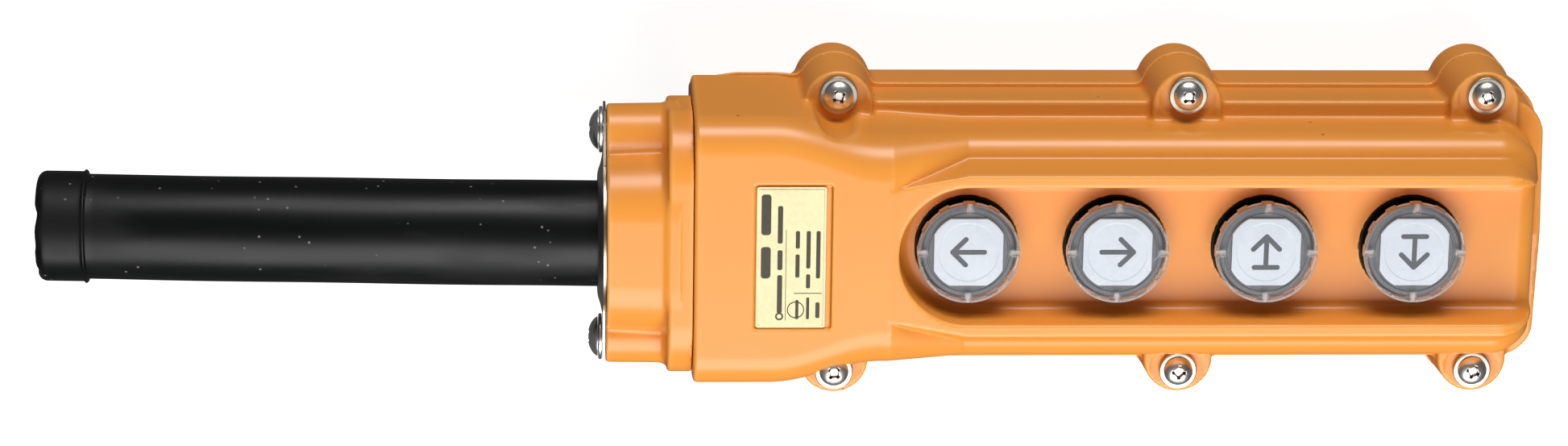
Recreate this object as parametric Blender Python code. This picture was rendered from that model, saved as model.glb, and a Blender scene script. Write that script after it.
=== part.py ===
"""Pendant push-button station for a hoist: a moulded case with four buttons, a cable gland and a rubber boot.

Sizes are in millimetres and become metres when a mesh is made. x runs along the case, from the boot (-x)
to the far end of the grip (+x). y runs across it, and z up from its flat back to the button side.
"""

import math

import bmesh
import bpy
from mathutils import Matrix, Vector

MM = 0.001
GAP = 0.3  # between pieces that touch
THIN_GAP = 0.15  # between the stacked sheet-metal pieces on the gland

# Buttons
BUTTONS = 4
PITCH = 35.0
TRAVEL = 4.0
CAP_RADIUS = 12.0
CAP_SKIRT = 3.5
CAP_WALL = 0.7
CAP_TOP_WALL = 1.2
LEGEND_WIDTH = 16.2
LEGEND_THICKNESS = 0.4
STEM_RADIUS = 6.3
SEAL_WALL = 0.7
SLIDE_CLEARANCE = 0.25

# Case, along x from the first button
HEAD_LENGTH = 64.2  # from the gland face to the first button
END_MARGIN = 33.2  # from the last button to the far end of the cover flange
SHOULDER_START = 44.0  # where the head starts to narrow, before the first button
WAIST = 19.0  # where the rails start, before the first button

# Case, across y
HEAD_HALF_WIDTH = 34.5
FLANGE_HALF_WIDTH = 31.5
GRIP_HALF_WIDTH = 27.6
TROUGH_HALF_WIDTH = 16.7
RAIL_WIDTH = 2.7
LEDGE = 1.0  # how far the rear housing stands out past the cover
WALL = 3.2
FLANGE_CORNER = 8.0
HEAD_CORNER = 2.0

# Case, up z
REAR_DEPTH = 22.0
COVER_DEPTH = 37.8
FLANGE_HEIGHT = 14.0
TROUGH_DEPTH = 10.3
CAP_PROUD = 7.3  # cap face over the trough floor
SEAL_PROUD = 0.5  # seal collar over the trough floor
REAR_FILLET = 10.0
HEAD_DRAFT = 0.3  # how far the rear housing's sides lean in on the head, for each unit of depth
END_RADIUS = 12.0

# Cover screws
SCREW_OUT = 2.3  # from the flange's edge out to the screws
SCREW_Y = FLANGE_HALF_WIDTH + SCREW_OUT
SCREW_RADIUS = 2.0
SCREW_HEAD_RADIUS = 3.5
SCREW_HEAD_HEIGHT = 2.6
WASHER_RADIUS = 4.5
WASHER_THICKNESS = 0.8
HOLE_CLEARANCE = 0.25
BOSS_RADIUS = 8.1
BOSS_REACH = SCREW_Y + 5.4
BOSS_HEIGHT = 16.7
REAR_BOSS_DEPTH = 12.0
SCREW_DEPTH = 9.7  # below the joint face

# Gland
GLAND_Z = 16.5
GLAND_FLANGE_THICKNESS = 5.7
GLAND_BODY_LENGTH = 14.2
GLAND_HALF_WIDTH = 31.7
GLAND_HALF_HEIGHT = 20.4
GLAND_CORNER = 15.0
BARREL_HALF_WIDTH = 20.4
BARREL_HALF_HEIGHT = 19.2
BARREL_CORNER = 12.0
LOBE_Y = 24.0
LOBE_RADIUS = 7.35
GLAND_SCREW_Y = 25.3
GLAND_SCREW_RADIUS = 2.45
GLAND_HEAD_RADIUS = 4.75
GLAND_HEAD_HEIGHT = 3.5
GLAND_WASHER_RADIUS = 5.45
GLAND_WASHER_THICKNESS = 0.8
PLATE_THICKNESS = 0.6
GASKET_THICKNESS = 0.9

# Cable boot
BOOT_RADIUS = 12.5
BOOT_BORE = 7.0
BOOT_LENGTH = 133.5  # outside the gland
BOOT_FLANGE_RADIUS = 15.0
BOOT_FLANGE_THICKNESS = 2.9
CUFF_RADIUS = 13.0
CUFF_LENGTH = 11.3
BOOT_SLOPE = 0.035
BOOT_SAG = 0.00013

# Nameplate
LABEL_LENGTH = 16.3
LABEL_WIDTH = 33.9
LABEL_THICKNESS = 0.4
LABEL_X = -49.9
RECESS_DEPTH = 0.8

# Contact blocks
BLOCK_LENGTH = 66.0
BLOCK_HALF_WIDTH = 18.0
BLOCK_TOP = -0.9  # over the joint face
WELL_HALF_LENGTH = 7.5
WELL_HALF_WIDTH = 13.5
WELL_DEPTH = 13.0
CONTACT_WIDTH = 6.0
CONTACT_THICKNESS = 1.0
BRIDGE_LENGTH = 24.0
BRIDGE_WIDTH = 7.0
SPRING_RADIUS = 4.0
SPRING_WIRE = 0.45
SPRING_TURNS = 5
PILLAR_RADIUS = 5.0
PILLAR_HEIGHT = 10.0

ROUND = 24  # sides of the large round pieces
SMALL_ROUND = 12  # sides of screws and holes

# Places that follow from the sizes
FLANGE_END = (BUTTONS - 1) * PITCH + END_MARGIN
CASE_END = FLANGE_END + LEDGE
BODY_END = FLANGE_END - (FLANGE_HALF_WIDTH - GRIP_HALF_WIDTH)
GLAND_FACE = -HEAD_LENGTH - GAP - GLAND_FLANGE_THICKNESS - GLAND_BODY_LENGTH
BOOT_END = GLAND_FACE - BOOT_LENGTH
SHIFT = Vector((-(BOOT_END + CASE_END) / 2, 0.0, REAR_DEPTH))
TROUGH_FLOOR = COVER_DEPTH - TROUGH_DEPTH
CAP_TOP = TROUGH_FLOOR + CAP_PROUD
SEAL_TOP = TROUGH_FLOOR + SEAL_PROUD
SEAL_RADIUS = CAP_RADIUS + SLIDE_CLEARANCE + SEAL_WALL
BUTTON_XS = [index * PITCH for index in range(BUTTONS)]
SCREW_XS = [-30.0, 1.5 * PITCH, (BUTTONS - 1) * PITCH + 18.4]
CONTACT_TOP = BLOCK_TOP + GAP + CONTACT_THICKNESS
BRIDGE_BOTTOM = CONTACT_TOP + TRAVEL + GAP
STEM_BOTTOM = BRIDGE_BOTTOM + CONTACT_THICKNESS + GAP

COLOURS = {
    "orange_plastic": ((0.85, 0.36, 0.06, 1.0), 0.3, 0.0),
    "black_rubber": ((0.02, 0.02, 0.02, 1.0), 0.6, 0.0),
    "clear_plastic": ((0.85, 0.86, 0.87, 1.0), 0.1, 0.0),
    "grey_plastic": ((0.25, 0.26, 0.26, 1.0), 0.5, 0.0),
    "white_plate": ((0.86, 0.87, 0.88, 1.0), 0.4, 0.0),
    "label_foil": ((0.85, 0.82, 0.58, 1.0), 0.4, 0.0),
    "plated_steel": ((0.6, 0.6, 0.58, 1.0), 0.25, 1.0),
    "brass": ((0.72, 0.53, 0.24, 1.0), 0.3, 1.0),
    "brown_plastic": ((0.12, 0.07, 0.05, 1.0), 0.5, 0.0),
}


def clear_scene():
    """Remove everything that the scene starts with."""
    for obj in list(bpy.data.objects):
        bpy.data.objects.remove(obj, do_unlink=True)


def material(name):
    """The Principled material of this name."""
    found = bpy.data.materials.get(name)
    if found:
        return found
    made = bpy.data.materials.new(name)
    made.use_nodes = True
    colour, roughness, metallic = COLOURS[name]
    shader = made.node_tree.nodes["Principled BSDF"]
    shader.inputs["Base Color"].default_value = colour
    shader.inputs["Roughness"].default_value = roughness
    shader.inputs["Metallic"].default_value = metallic
    made.diffuse_color = colour
    return made


def make(name, verts, faces, finish, origin=(0.0, 0.0, 0.0)):
    """An object from vertices in millimetres, with its origin at the given place of the case."""
    base = Vector(origin)
    mesh = bpy.data.meshes.new(name)
    mesh.from_pydata([tuple((Vector(v) - base) * MM) for v in verts], [], faces)
    bm = bmesh.new()
    bm.from_mesh(mesh)
    bmesh.ops.recalc_face_normals(bm, faces=bm.faces)
    bm.to_mesh(mesh)
    bm.free()
    mesh.materials.append(material(finish))
    obj = bpy.data.objects.new(name, mesh)
    obj.location = (base + SHIFT) * MM
    bpy.context.scene.collection.objects.link(obj)
    return obj


def stack(rings):
    """Vertices and faces of a solid through rings with equal numbers of points, closed at both ends."""
    count = len(rings[0])
    verts = [point for ring in rings for point in ring]
    faces = [list(range(count))[::-1], list(range(len(verts) - count, len(verts)))]
    for level in range(len(rings) - 1):
        start = level * count
        for i in range(count):
            j = (i + 1) % count
            faces.append([start + i, start + j, start + count + j, start + count + i])
    return verts, faces


def hoop(rings):
    """Vertices and faces of a solid whose rings close on themselves, such as a tube with a bore."""
    count = len(rings[0])
    verts = [point for ring in rings for point in ring]
    faces = []
    for level in range(len(rings)):
        here, there = level * count, (level + 1) % len(rings) * count
        for i in range(count):
            j = (i + 1) % count
            faces.append([here + i, here + j, there + j, there + i])
    return verts, faces


def prism(outline, low, high):
    """A plan outline of (x, y) raised from z low to z high."""
    return stack([[(x, y, z) for x, y in outline] for z in (low, high)])


def end_prism(outline, low, high):
    """An outline of (y, z) drawn along x from low to high."""
    return stack([[(x, y, z) for y, z in outline] for x in (low, high)])


def box(low, high):
    """A box between two corners."""
    outline = [(low[0], low[1]), (high[0], low[1]), (high[0], high[1]), (low[0], high[1])]
    return prism(outline, low[2], high[2])


def circle(radius, sides, x=0.0, y=0.0, turn=0.0):
    """Points round a circle."""
    angles = [2 * math.pi * (i + turn) / sides for i in range(sides)]
    return [(x + radius * math.cos(a), y + radius * math.sin(a)) for a in angles]


def rounded(half_width, half_height, corner, y=0.0, z=0.0, steps=5):
    """Points round a rectangle with round corners."""
    points = []
    for quarter in range(4):
        sy = 1 if quarter in (0, 3) else -1
        sz = 1 if quarter in (0, 1) else -1
        for i in range(steps + 1):
            a = math.pi / 2 * (quarter + i / steps)
            points.append(
                (
                    y + sy * (half_width - corner) + corner * math.cos(a),
                    z + sz * (half_height - corner) + corner * math.sin(a),
                )
            )
    return points


def turned(profile, x, y, sides=ROUND):
    """A closed profile of (radius, z) turned about the vertical axis at x, y, with a bore in it."""
    return hoop([[(px, py, z) for px, py in circle(r, sides, x, y)] for r, z in profile])


def turned_solid(profile, x, y, sides=ROUND):
    """An open profile of (radius, z) from bottom to top, turned and closed by flat ends."""
    return stack([[(px, py, z) for px, py in circle(r, sides, x, y)] for r, z in profile])


def lying(shape, x, y, z):
    """A shape about the vertical axis at 0, 0, laid along -x, with its base at x, y, z."""
    verts, faces = shape
    return [(x - v[2], y + v[1], z + v[0]) for v in verts], faces


def combine(obj, shapes, operation):
    """Boolean modifiers that join shapes to an object, or cut them from it."""
    for index, (verts, faces) in enumerate(shapes):
        label = f"{obj.name}_{operation.lower()}_{len(obj.modifiers)}_{index}"
        tool = make(label, verts, faces, "orange_plastic", (obj.location / MM) - SHIFT)
        tool.hide_render = True
        tool.display_type = "WIRE"
        modifier = obj.modifiers.new(label, "BOOLEAN")
        modifier.operation = operation
        modifier.solver = "EXACT"
        modifier.object = tool
    return obj


def cut(obj, *shapes):
    """Cut shapes from an object."""
    return combine(obj, shapes, "DIFFERENCE")


def join(obj, *shapes):
    """Join shapes to an object."""
    return combine(obj, shapes, "UNION")


def ease(value):
    """A smooth step from 0 to 1."""
    held = min(max(value, 0.0), 1.0)
    return held * held * (3 - 2 * held)


def body_half_width(x):
    """Half the width of the cover's upper body at the joint face."""
    share = ease((x + SHOULDER_START) / (SHOULDER_START - 4.0))
    return HEAD_HALF_WIDTH + (GRIP_HALF_WIDTH - HEAD_HALF_WIDTH) * share


def plan_outline(width_at, left, right, left_corner, right_corner):
    """The (x, y) outline of the case, with a half width that changes along x."""
    upper = []
    for i in range(4):
        a = math.pi / 2 * i / 3
        reach = width_at(left + left_corner) - left_corner * (1 - math.sin(a))
        upper.append((left + left_corner * (1 - math.cos(a)), reach))
    first = max(left + left_corner + 1.0, -SHOULDER_START - 14.0)
    for i in range(9):
        x = first + (4.0 - first) * i / 8
        upper.append((x, width_at(x)))
    for i in range(6):
        a = math.pi / 2 * i / 5
        reach = width_at(right) - right_corner * (1 - math.cos(a))
        upper.append((right - right_corner * (1 - math.sin(a)), reach))
    return upper + [(x, -y) for x, y in reversed(upper)]


def cover_section(x):
    """The cover's upper body across x, as (y, z) from one joint edge over the top to the other."""
    to_waist = ease((x + SHOULDER_START) / (SHOULDER_START - WAIST))
    to_grip = min(max((x + WAIST) / WAIST, 0.0), 1.0)
    wall = (HEAD_HALF_WIDTH - 2.1, GRIP_HALF_WIDTH, GRIP_HALF_WIDTH - 0.4)
    radius = (7.5, 9.1, 6.1)
    drop = (0.0, 0.0, COVER_DEPTH - FLANGE_HEIGHT - 17.0)
    rail = (TROUGH_HALF_WIDTH + RAIL_WIDTH, TROUGH_HALF_WIDTH + 0.2, TROUGH_HALF_WIDTH + RAIL_WIDTH)

    def blend(values):
        head_to_waist = values[0] + (values[1] - values[0]) * to_waist
        return head_to_waist + (values[2] - head_to_waist) * to_grip

    r, side, top = blend(radius), blend(wall), COVER_DEPTH - blend(drop)
    points = [(body_half_width(x), 0.0)]
    for i in range(7):
        a = math.radians(86 - (86 - 8 * to_grip) * i / 6)
        points.append((side - r + r * math.sin(a), top - r + r * math.cos(a)))
    points.append((blend(rail), COVER_DEPTH))
    return points + [(-y, z) for y, z in reversed(points)]


def cover_body():
    """Rings of the cover's upper body, rounded at the gland end and more so at the far end."""
    edge = 1.3
    rings = []
    first = cover_section(-HEAD_LENGTH)
    rings.append([(-HEAD_LENGTH, y - math.copysign(edge, y), max(z - edge, 0.0)) for y, z in first])
    xs = [-HEAD_LENGTH + edge, -SHOULDER_START, -38.0, -32.0, -26.0, -WAIST, -12.0, -6.0, 0.0]
    for x in xs:
        rings.append([(x, y, z) for y, z in cover_section(x)])
    for i in range(7):
        u = math.sin(math.pi / 2 * i / 6)
        x = BODY_END - END_RADIUS * (1 - u)
        fall = 1 - END_RADIUS * (1 - math.sqrt(1 - u * u)) / COVER_DEPTH
        w = max(0.0, 1 - (BODY_END - x) / FLANGE_CORNER)
        pull = 1 - FLANGE_CORNER * (1 - math.sqrt(1 - w * w)) / GRIP_HALF_WIDTH
        rings.append([(x, y * pull, z * fall) for y, z in cover_section(x)])
    return stack(rings)


def boss_outline(x, side, grow):
    """The outline of a screw boss: a round nose and straight flanks that run into the case."""
    radius = BOSS_RADIUS + grow
    centre = BOSS_REACH - BOSS_RADIUS
    points = [(x + radius * math.cos(a), side * (centre + radius * math.sin(a)))
              for a in [math.pi * i / 10 for i in range(11)]]
    inner = side * (GRIP_HALF_WIDTH - WALL / 2)
    return points + [(x - radius, inner), (x + radius, inner)]


def front_cover():
    """The moulded front: head, grip with rails and a trough, flange, bosses, pockets and bores."""
    obj = make("front_cover", *cover_body(), "orange_plastic")

    def flange_width(x):
        return FLANGE_HALF_WIDTH

    flange = plan_outline(flange_width, -HEAD_LENGTH + 12.0, FLANGE_END, 1.0, FLANGE_CORNER)
    join(obj, prism(flange, 0.0, FLANGE_HEIGHT))
    bosses = [prism(boss_outline(x, side, 0.0), 0.0, BOSS_HEIGHT) for x in SCREW_XS for side in (1, -1)]
    join(obj, *bosses)

    trough = [(x, y) for x, y in circle(TROUGH_HALF_WIDTH - 0.3, ROUND) if x < 0.01]
    trough += [(FLANGE_END + 5.0, 0.3 - TROUGH_HALF_WIDTH), (FLANGE_END + 5.0, TROUGH_HALF_WIDTH - 0.3)]
    cut(obj, prism(trough, TROUGH_FLOOR, COVER_DEPTH + 5.0))

    def cavity(low, high, half_width, top):
        return box((low, -half_width, -1.0), (high, half_width, top))

    head_cavity = cavity(-HEAD_LENGTH + WALL, -WAIST - 3.0, GRIP_HALF_WIDTH - WALL + 0.4, COVER_DEPTH - WALL - 1.0)
    grip_cavity = cavity(-WAIST - 6.0, BODY_END - WALL, GRIP_HALF_WIDTH - WALL - 0.6, TROUGH_FLOOR - WALL + 0.2)
    cut(obj, head_cavity, grip_cavity)

    for y in (GLAND_SCREW_Y, -GLAND_SCREW_Y):
        pillar = turned_solid([(4.6, 0.0), (4.6, 12.0)], 0.0, 0.0, SMALL_ROUND)
        join(obj, lying(pillar, -HEAD_LENGTH + WALL + 11.0, y, GLAND_Z))
        hole = turned_solid([(GLAND_SCREW_RADIUS + GAP, 0.0), (GLAND_SCREW_RADIUS + GAP, 20.0)], 0.0, 0.0, SMALL_ROUND)
        cut(obj, lying(hole, -HEAD_LENGTH + WALL + 9.0, y, GLAND_Z))
    cable = turned_solid([(BOOT_FLANGE_RADIUS - 1.0, 0.0), (BOOT_FLANGE_RADIUS - 1.0, 10.0)], 0.0, 0.0)
    cut(obj, lying(cable, -HEAD_LENGTH + WALL + 2.0, 0.0, GLAND_Z))

    bore = SEAL_RADIUS + SLIDE_CLEARANCE
    cut(obj, *[turned_solid([(bore, TROUGH_FLOOR - 8.0), (bore, TROUGH_FLOOR + 2.0)], x, 0.0) for x in BUTTON_XS])

    hole = SCREW_RADIUS + HOLE_CLEARANCE
    for x in SCREW_XS:
        for y in (SCREW_Y, -SCREW_Y):
            cut(obj, turned_solid([(WASHER_RADIUS + 1.5, BOSS_HEIGHT), (WASHER_RADIUS + 3.1, COVER_DEPTH + 1.0)], x, y, 18))
            cut(obj, turned_solid([(hole, -1.0), (hole, BOSS_HEIGHT + 1.0)], x, y, SMALL_ROUND))

    low = (LABEL_X - GAP, -LABEL_WIDTH / 2 - 0.5, COVER_DEPTH - RECESS_DEPTH)
    high = (LABEL_X + LABEL_LENGTH + 1.4, LABEL_WIDTH / 2 + 0.5, COVER_DEPTH + 2.0)
    cut(obj, box(low, high))
    return obj


def rear_width(x):
    """Half the width of the rear housing: the wider of the head and the flange, and the ledge."""
    ledge = LEDGE * ease((x + HEAD_LENGTH - 2.0) / 10.0)
    return max(body_half_width(x), FLANGE_HALF_WIDTH) + ledge


def rear_outline(inset, z=0.0):
    """The rear housing's outline at a height, drawn in by an inset."""

    def width(x):
        head = 1.0 - ease((x + SHOULDER_START) / (SHOULDER_START - WAIST))
        return rear_width(x) - inset + HEAD_DRAFT * head * min(z, 0.0)

    corner = max(FLANGE_CORNER + LEDGE - inset, 1.5)
    return plan_outline(width, -HEAD_LENGTH + inset, CASE_END - inset, HEAD_CORNER, corner)


def rear_housing():
    """The moulded back: a shallow tray with a rounded edge, screw bosses, a seal groove and pillars."""
    top = -GAP
    straight = -REAR_DEPTH + REAR_FILLET
    rings = []
    for i in range(6):
        a = math.pi / 2 * i / 5
        inset = REAR_FILLET * (1 - math.cos(a)) * 0.9 + 0.3
        z = straight - REAR_FILLET * math.sin(a)
        rings.append([(x, y, z) for x, y in rear_outline(inset, z)])
    rings = [[(x, y, top) for x, y in rear_outline(0.0)]] + rings
    obj = make("rear_housing", *stack(rings), "orange_plastic")
    bosses = [prism(boss_outline(x, side, LEDGE), -REAR_BOSS_DEPTH, top) for x in SCREW_XS for side in (1, -1)]
    join(obj, *bosses)

    floor = -REAR_DEPTH + WALL - 0.2
    inner = [(LEDGE + WALL, 1.0), (LEDGE + WALL, straight), (LEDGE + WALL + 4.5, floor)]
    cut(obj, stack([[(x, y, z) for x, y in rear_outline(inset, z)] for inset, z in inner]))
    groove = [(1.9, 0.2), (1.9, top - 1.6), (3.9, top - 1.6), (3.9, 0.2)]
    cut(obj, hoop([[(x, y, z) for x, y in rear_outline(inset)] for inset, z in groove]))

    hole = SCREW_RADIUS + HOLE_CLEARANCE
    for x in SCREW_XS:
        for y in (SCREW_Y, -SCREW_Y):
            cut(obj, turned_solid([(hole, -SCREW_DEPTH - GAP), (hole, 1.0)], x, y, SMALL_ROUND))
    for x in block_centres():
        join(obj, turned_solid([(PILLAR_RADIUS, floor - 1.0), (PILLAR_RADIUS, floor + PILLAR_HEIGHT)], x, 0.0, SMALL_ROUND))
        cut(obj, turned_solid([(hole, floor + 1.5), (hole, floor + PILLAR_HEIGHT + 1.0)], x, 0.0, SMALL_ROUND))
    return obj


def block_centres():
    """Where the contact blocks sit: one between each pair of buttons."""
    return [(BUTTON_XS[i] + BUTTON_XS[i + 1]) / 2 for i in range(0, BUTTONS, 2)]


def cover_gasket():
    """The rubber cord that lies in the rear housing's groove."""
    low, high = -GAP - 1.6 + GAP, -GAP
    loop = [(2.2, low), (2.2, high), (3.6, high), (3.6, low)]
    rings = [[(x, y, z) for x, y in rear_outline(inset)] for inset, z in loop]
    return make("cover_gasket", *hoop(rings), "black_rubber")


def nameplate():
    """The blank rating plate in its recess on the head."""
    base = COVER_DEPTH - RECESS_DEPTH + GAP
    low = (LABEL_X, -LABEL_WIDTH / 2, base)
    high = (LABEL_X + LABEL_LENGTH, LABEL_WIDTH / 2, base + LABEL_THICKNESS)
    return make("nameplate", *box(low, high), "label_foil")


def pan_screw(name, radius, head_radius, head_height, length, place, lie):
    """A pan-head screw with a cross recess, its head's seat at the place, upright or laid along -x."""
    profile = [(radius, -length), (radius, 0.0), (head_radius * 0.92, 0.0), (head_radius, head_height * 0.3),
               (head_radius * 0.9, head_height * 0.72), (head_radius * 0.55, head_height)]
    shape = turned_solid(profile, 0.0, 0.0, SMALL_ROUND)
    slot, reach, floor = radius * 0.22, head_radius * 0.55, head_height * 0.4
    crosses = [box((-reach, -slot, floor), (reach, slot, head_height + 1.0)),
               box((-slot, -reach, floor), (slot, reach, head_height + 1.0))]

    def placed(solid):
        if lie:
            return lying(solid, *place)
        return [tuple(Vector(v) + Vector(place)) for v in solid[0]], solid[1]

    obj = make(name, *placed(shape), "plated_steel", place)
    return cut(obj, *[placed(cross) for cross in crosses])


def cover_fasteners():
    """Six cover screws, each on its washer."""
    seat = BOSS_HEIGHT + GAP
    head = seat + WASHER_THICKNESS + GAP
    places = [(x, y) for y in (SCREW_Y, -SCREW_Y) for x in SCREW_XS]
    for index, (x, y) in enumerate(places, 1):
        bore, rim = SCREW_RADIUS + HOLE_CLEARANCE, WASHER_RADIUS
        washer = [(bore, seat), (rim, seat), (rim, seat + WASHER_THICKNESS), (bore, seat + WASHER_THICKNESS)]
        make(f"cover_washer_{index}", *turned(washer, x, y, 16), "plated_steel", (x, y, seat))
        pan_screw(f"cover_screw_{index}", SCREW_RADIUS, SCREW_HEAD_RADIUS, SCREW_HEAD_HEIGHT,
                  head + SCREW_DEPTH, (x, y, head), False)


def gland_cap():
    """The moulded gland: a flange against the head and a lobed barrel that holds the boot."""
    joint = -HEAD_LENGTH - GAP
    face = joint - GLAND_FLANGE_THICKNESS
    flange = rounded(GLAND_HALF_WIDTH, GLAND_HALF_HEIGHT, GLAND_CORNER, 0.0, GLAND_Z)
    obj = make("gland_cap", *end_prism(flange, face, joint), "orange_plastic")
    barrel = rounded(BARREL_HALF_WIDTH, BARREL_HALF_HEIGHT, BARREL_CORNER, 0.0, GLAND_Z)
    join(obj, end_prism(barrel, GLAND_FACE, face + 1.0))
    for side in (1, -1):
        lobe = turned_solid([(LOBE_RADIUS, -1.0), (LOBE_RADIUS, GLAND_BODY_LENGTH)], 0.0, 0.0, 20)
        join(obj, lying(lobe, face, side * LOBE_Y, GLAND_Z))
    seat = GLAND_HALF_HEIGHT - GLAND_HALF_WIDTH
    recess = rounded(GLAND_HALF_WIDTH - 2.5, GLAND_HALF_WIDTH - 2.5 + seat, GLAND_CORNER - 2.5, 0.0, GLAND_Z)
    cut(obj, end_prism(recess, joint - GASKET_THICKNESS - GAP, joint + 1.0))
    shaft = BOOT_RADIUS + GAP
    counterbore = BOOT_FLANGE_RADIUS + GAP
    depth = BOOT_FLANGE_THICKNESS + GAP
    cut(obj, lying(turned_solid([(shaft, -2.0), (shaft, 40.0)], 0.0, 0.0), joint, 0.0, GLAND_Z))
    cut(obj, lying(turned_solid([(counterbore, -depth), (counterbore, 2.0)], 0.0, 0.0), GLAND_FACE, 0.0, GLAND_Z))
    hole = GLAND_SCREW_RADIUS + GAP
    for y in (GLAND_SCREW_Y, -GLAND_SCREW_Y):
        cut(obj, lying(turned_solid([(hole, -2.0), (hole, 40.0)], 0.0, 0.0, SMALL_ROUND), joint, y, GLAND_Z))
    return obj


def gland_gasket():
    """The sheet-rubber seal between gland and head."""
    joint = -HEAD_LENGTH - GAP
    seat = GLAND_HALF_HEIGHT - GLAND_HALF_WIDTH
    reach = GLAND_HALF_WIDTH - 2.8
    outline = rounded(reach, reach + seat, GLAND_CORNER - 2.8, 0.0, GLAND_Z)
    obj = make("gland_gasket", *end_prism(outline, joint - GASKET_THICKNESS, joint), "black_rubber")
    opening = turned_solid([(BOOT_FLANGE_RADIUS - 1.0, -3.0), (BOOT_FLANGE_RADIUS - 1.0, 3.0)], 0.0, 0.0)
    cut(obj, lying(opening, joint, 0.0, GLAND_Z))
    hole = GLAND_SCREW_RADIUS + GAP
    for y in (GLAND_SCREW_Y, -GLAND_SCREW_Y):
        cut(obj, lying(turned_solid([(hole, -3.0), (hole, 3.0)], 0.0, 0.0, SMALL_ROUND), joint, y, GLAND_Z))
    return obj


def gland_plate():
    """The steel plate under the gland screws, dished outwards round the boot."""
    base = GLAND_FACE - THIN_GAP
    strap = rounded(GLAND_SCREW_Y + 5.6, 5.6, 5.5, 0.0, GLAND_Z)
    obj = make("gland_plate", *end_prism(strap, base - PLATE_THICKNESS, base), "plated_steel")
    bore, rim, rise = BOOT_RADIUS + GAP, BOOT_RADIUS + 6.0, 1.3
    disc = [(bore, rise), (bore, rise + PLATE_THICKNESS), (bore + 2.0, rise + PLATE_THICKNESS),
            (rim - 0.6, PLATE_THICKNESS), (rim, PLATE_THICKNESS), (rim, 0.0), (rim - 1.0, 0.0), (bore + 1.6, rise)]
    clear = turned_solid([(rim - 0.8, -1.0), (rim - 0.8, 3.0)], 0.0, 0.0)
    cut(obj, lying(clear, base, 0.0, GLAND_Z))
    join(obj, lying(turned(disc, 0.0, 0.0), base, 0.0, GLAND_Z))
    hole = GLAND_SCREW_RADIUS + GAP
    for y in (GLAND_SCREW_Y, -GLAND_SCREW_Y):
        cut(obj, lying(turned_solid([(hole, -1.0), (hole, 3.0)], 0.0, 0.0, SMALL_ROUND), base, y, GLAND_Z))
    return obj


def gland_fasteners():
    """Two screws and washers that hold the plate and the gland to the head."""
    seat = GLAND_FACE - THIN_GAP - PLATE_THICKNESS - THIN_GAP
    head = seat - GLAND_WASHER_THICKNESS - THIN_GAP
    length = head + HEAD_LENGTH - WALL - 7.0
    for label, y in (("upper", GLAND_SCREW_Y), ("lower", -GLAND_SCREW_Y)):
        bore, rim, thick = GLAND_SCREW_RADIUS + HOLE_CLEARANCE, GLAND_WASHER_RADIUS, GLAND_WASHER_THICKNESS
        ring = turned([(bore, 0.0), (rim, 0.0), (rim, thick), (bore, thick)], 0.0, 0.0, 16)
        make(f"gland_washer_{label}", *lying(ring, seat, y, GLAND_Z), "plated_steel", (seat, y, GLAND_Z))
        pan_screw(f"gland_screw_{label}", GLAND_SCREW_RADIUS, GLAND_HEAD_RADIUS, GLAND_HEAD_HEIGHT,
                  -length, (head, y, GLAND_Z), True)


def boot_axis(x):
    """Height of the boot's axis: straight in the gland, then sagging under its own weight."""
    out = max(GLAND_FACE - x, 0.0)
    return GLAND_Z - BOOT_SLOPE * out - BOOT_SAG * out * out


def cable_boot():
    """The rubber sleeve over the cable: a root flange inside the gland, a long tube and a cuff."""
    inner_end = GLAND_FACE + 12.0
    flange_back = GLAND_FACE + BOOT_FLANGE_THICKNESS
    flange_front = GLAND_FACE + THIN_GAP
    cuff = BOOT_END + CUFF_LENGTH
    outer = [(inner_end, BOOT_RADIUS), (flange_back, BOOT_RADIUS), (flange_back, BOOT_FLANGE_RADIUS),
             (flange_front, BOOT_FLANGE_RADIUS), (flange_front, BOOT_RADIUS)]
    span = GLAND_FACE - 2.0 - cuff
    outer += [(GLAND_FACE - 2.0 - span * i / 8, BOOT_RADIUS) for i in range(9)]
    outer += [(cuff - 0.1, CUFF_RADIUS), (BOOT_END + 1.6, CUFF_RADIUS), (BOOT_END + 0.5, CUFF_RADIUS - 0.5),
              (BOOT_END, CUFF_RADIUS - 1.6)]
    inner = [(BOOT_END + (inner_end - BOOT_END) * i / 10, BOOT_BORE) for i in range(11)]
    rings = []
    for x, radius in outer + inner:
        axis = boot_axis(x)
        rings.append([(x, y, axis + z) for y, z in circle(radius, ROUND)])
    return make("cable_boot", *hoop(rings), "black_rubber")


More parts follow.
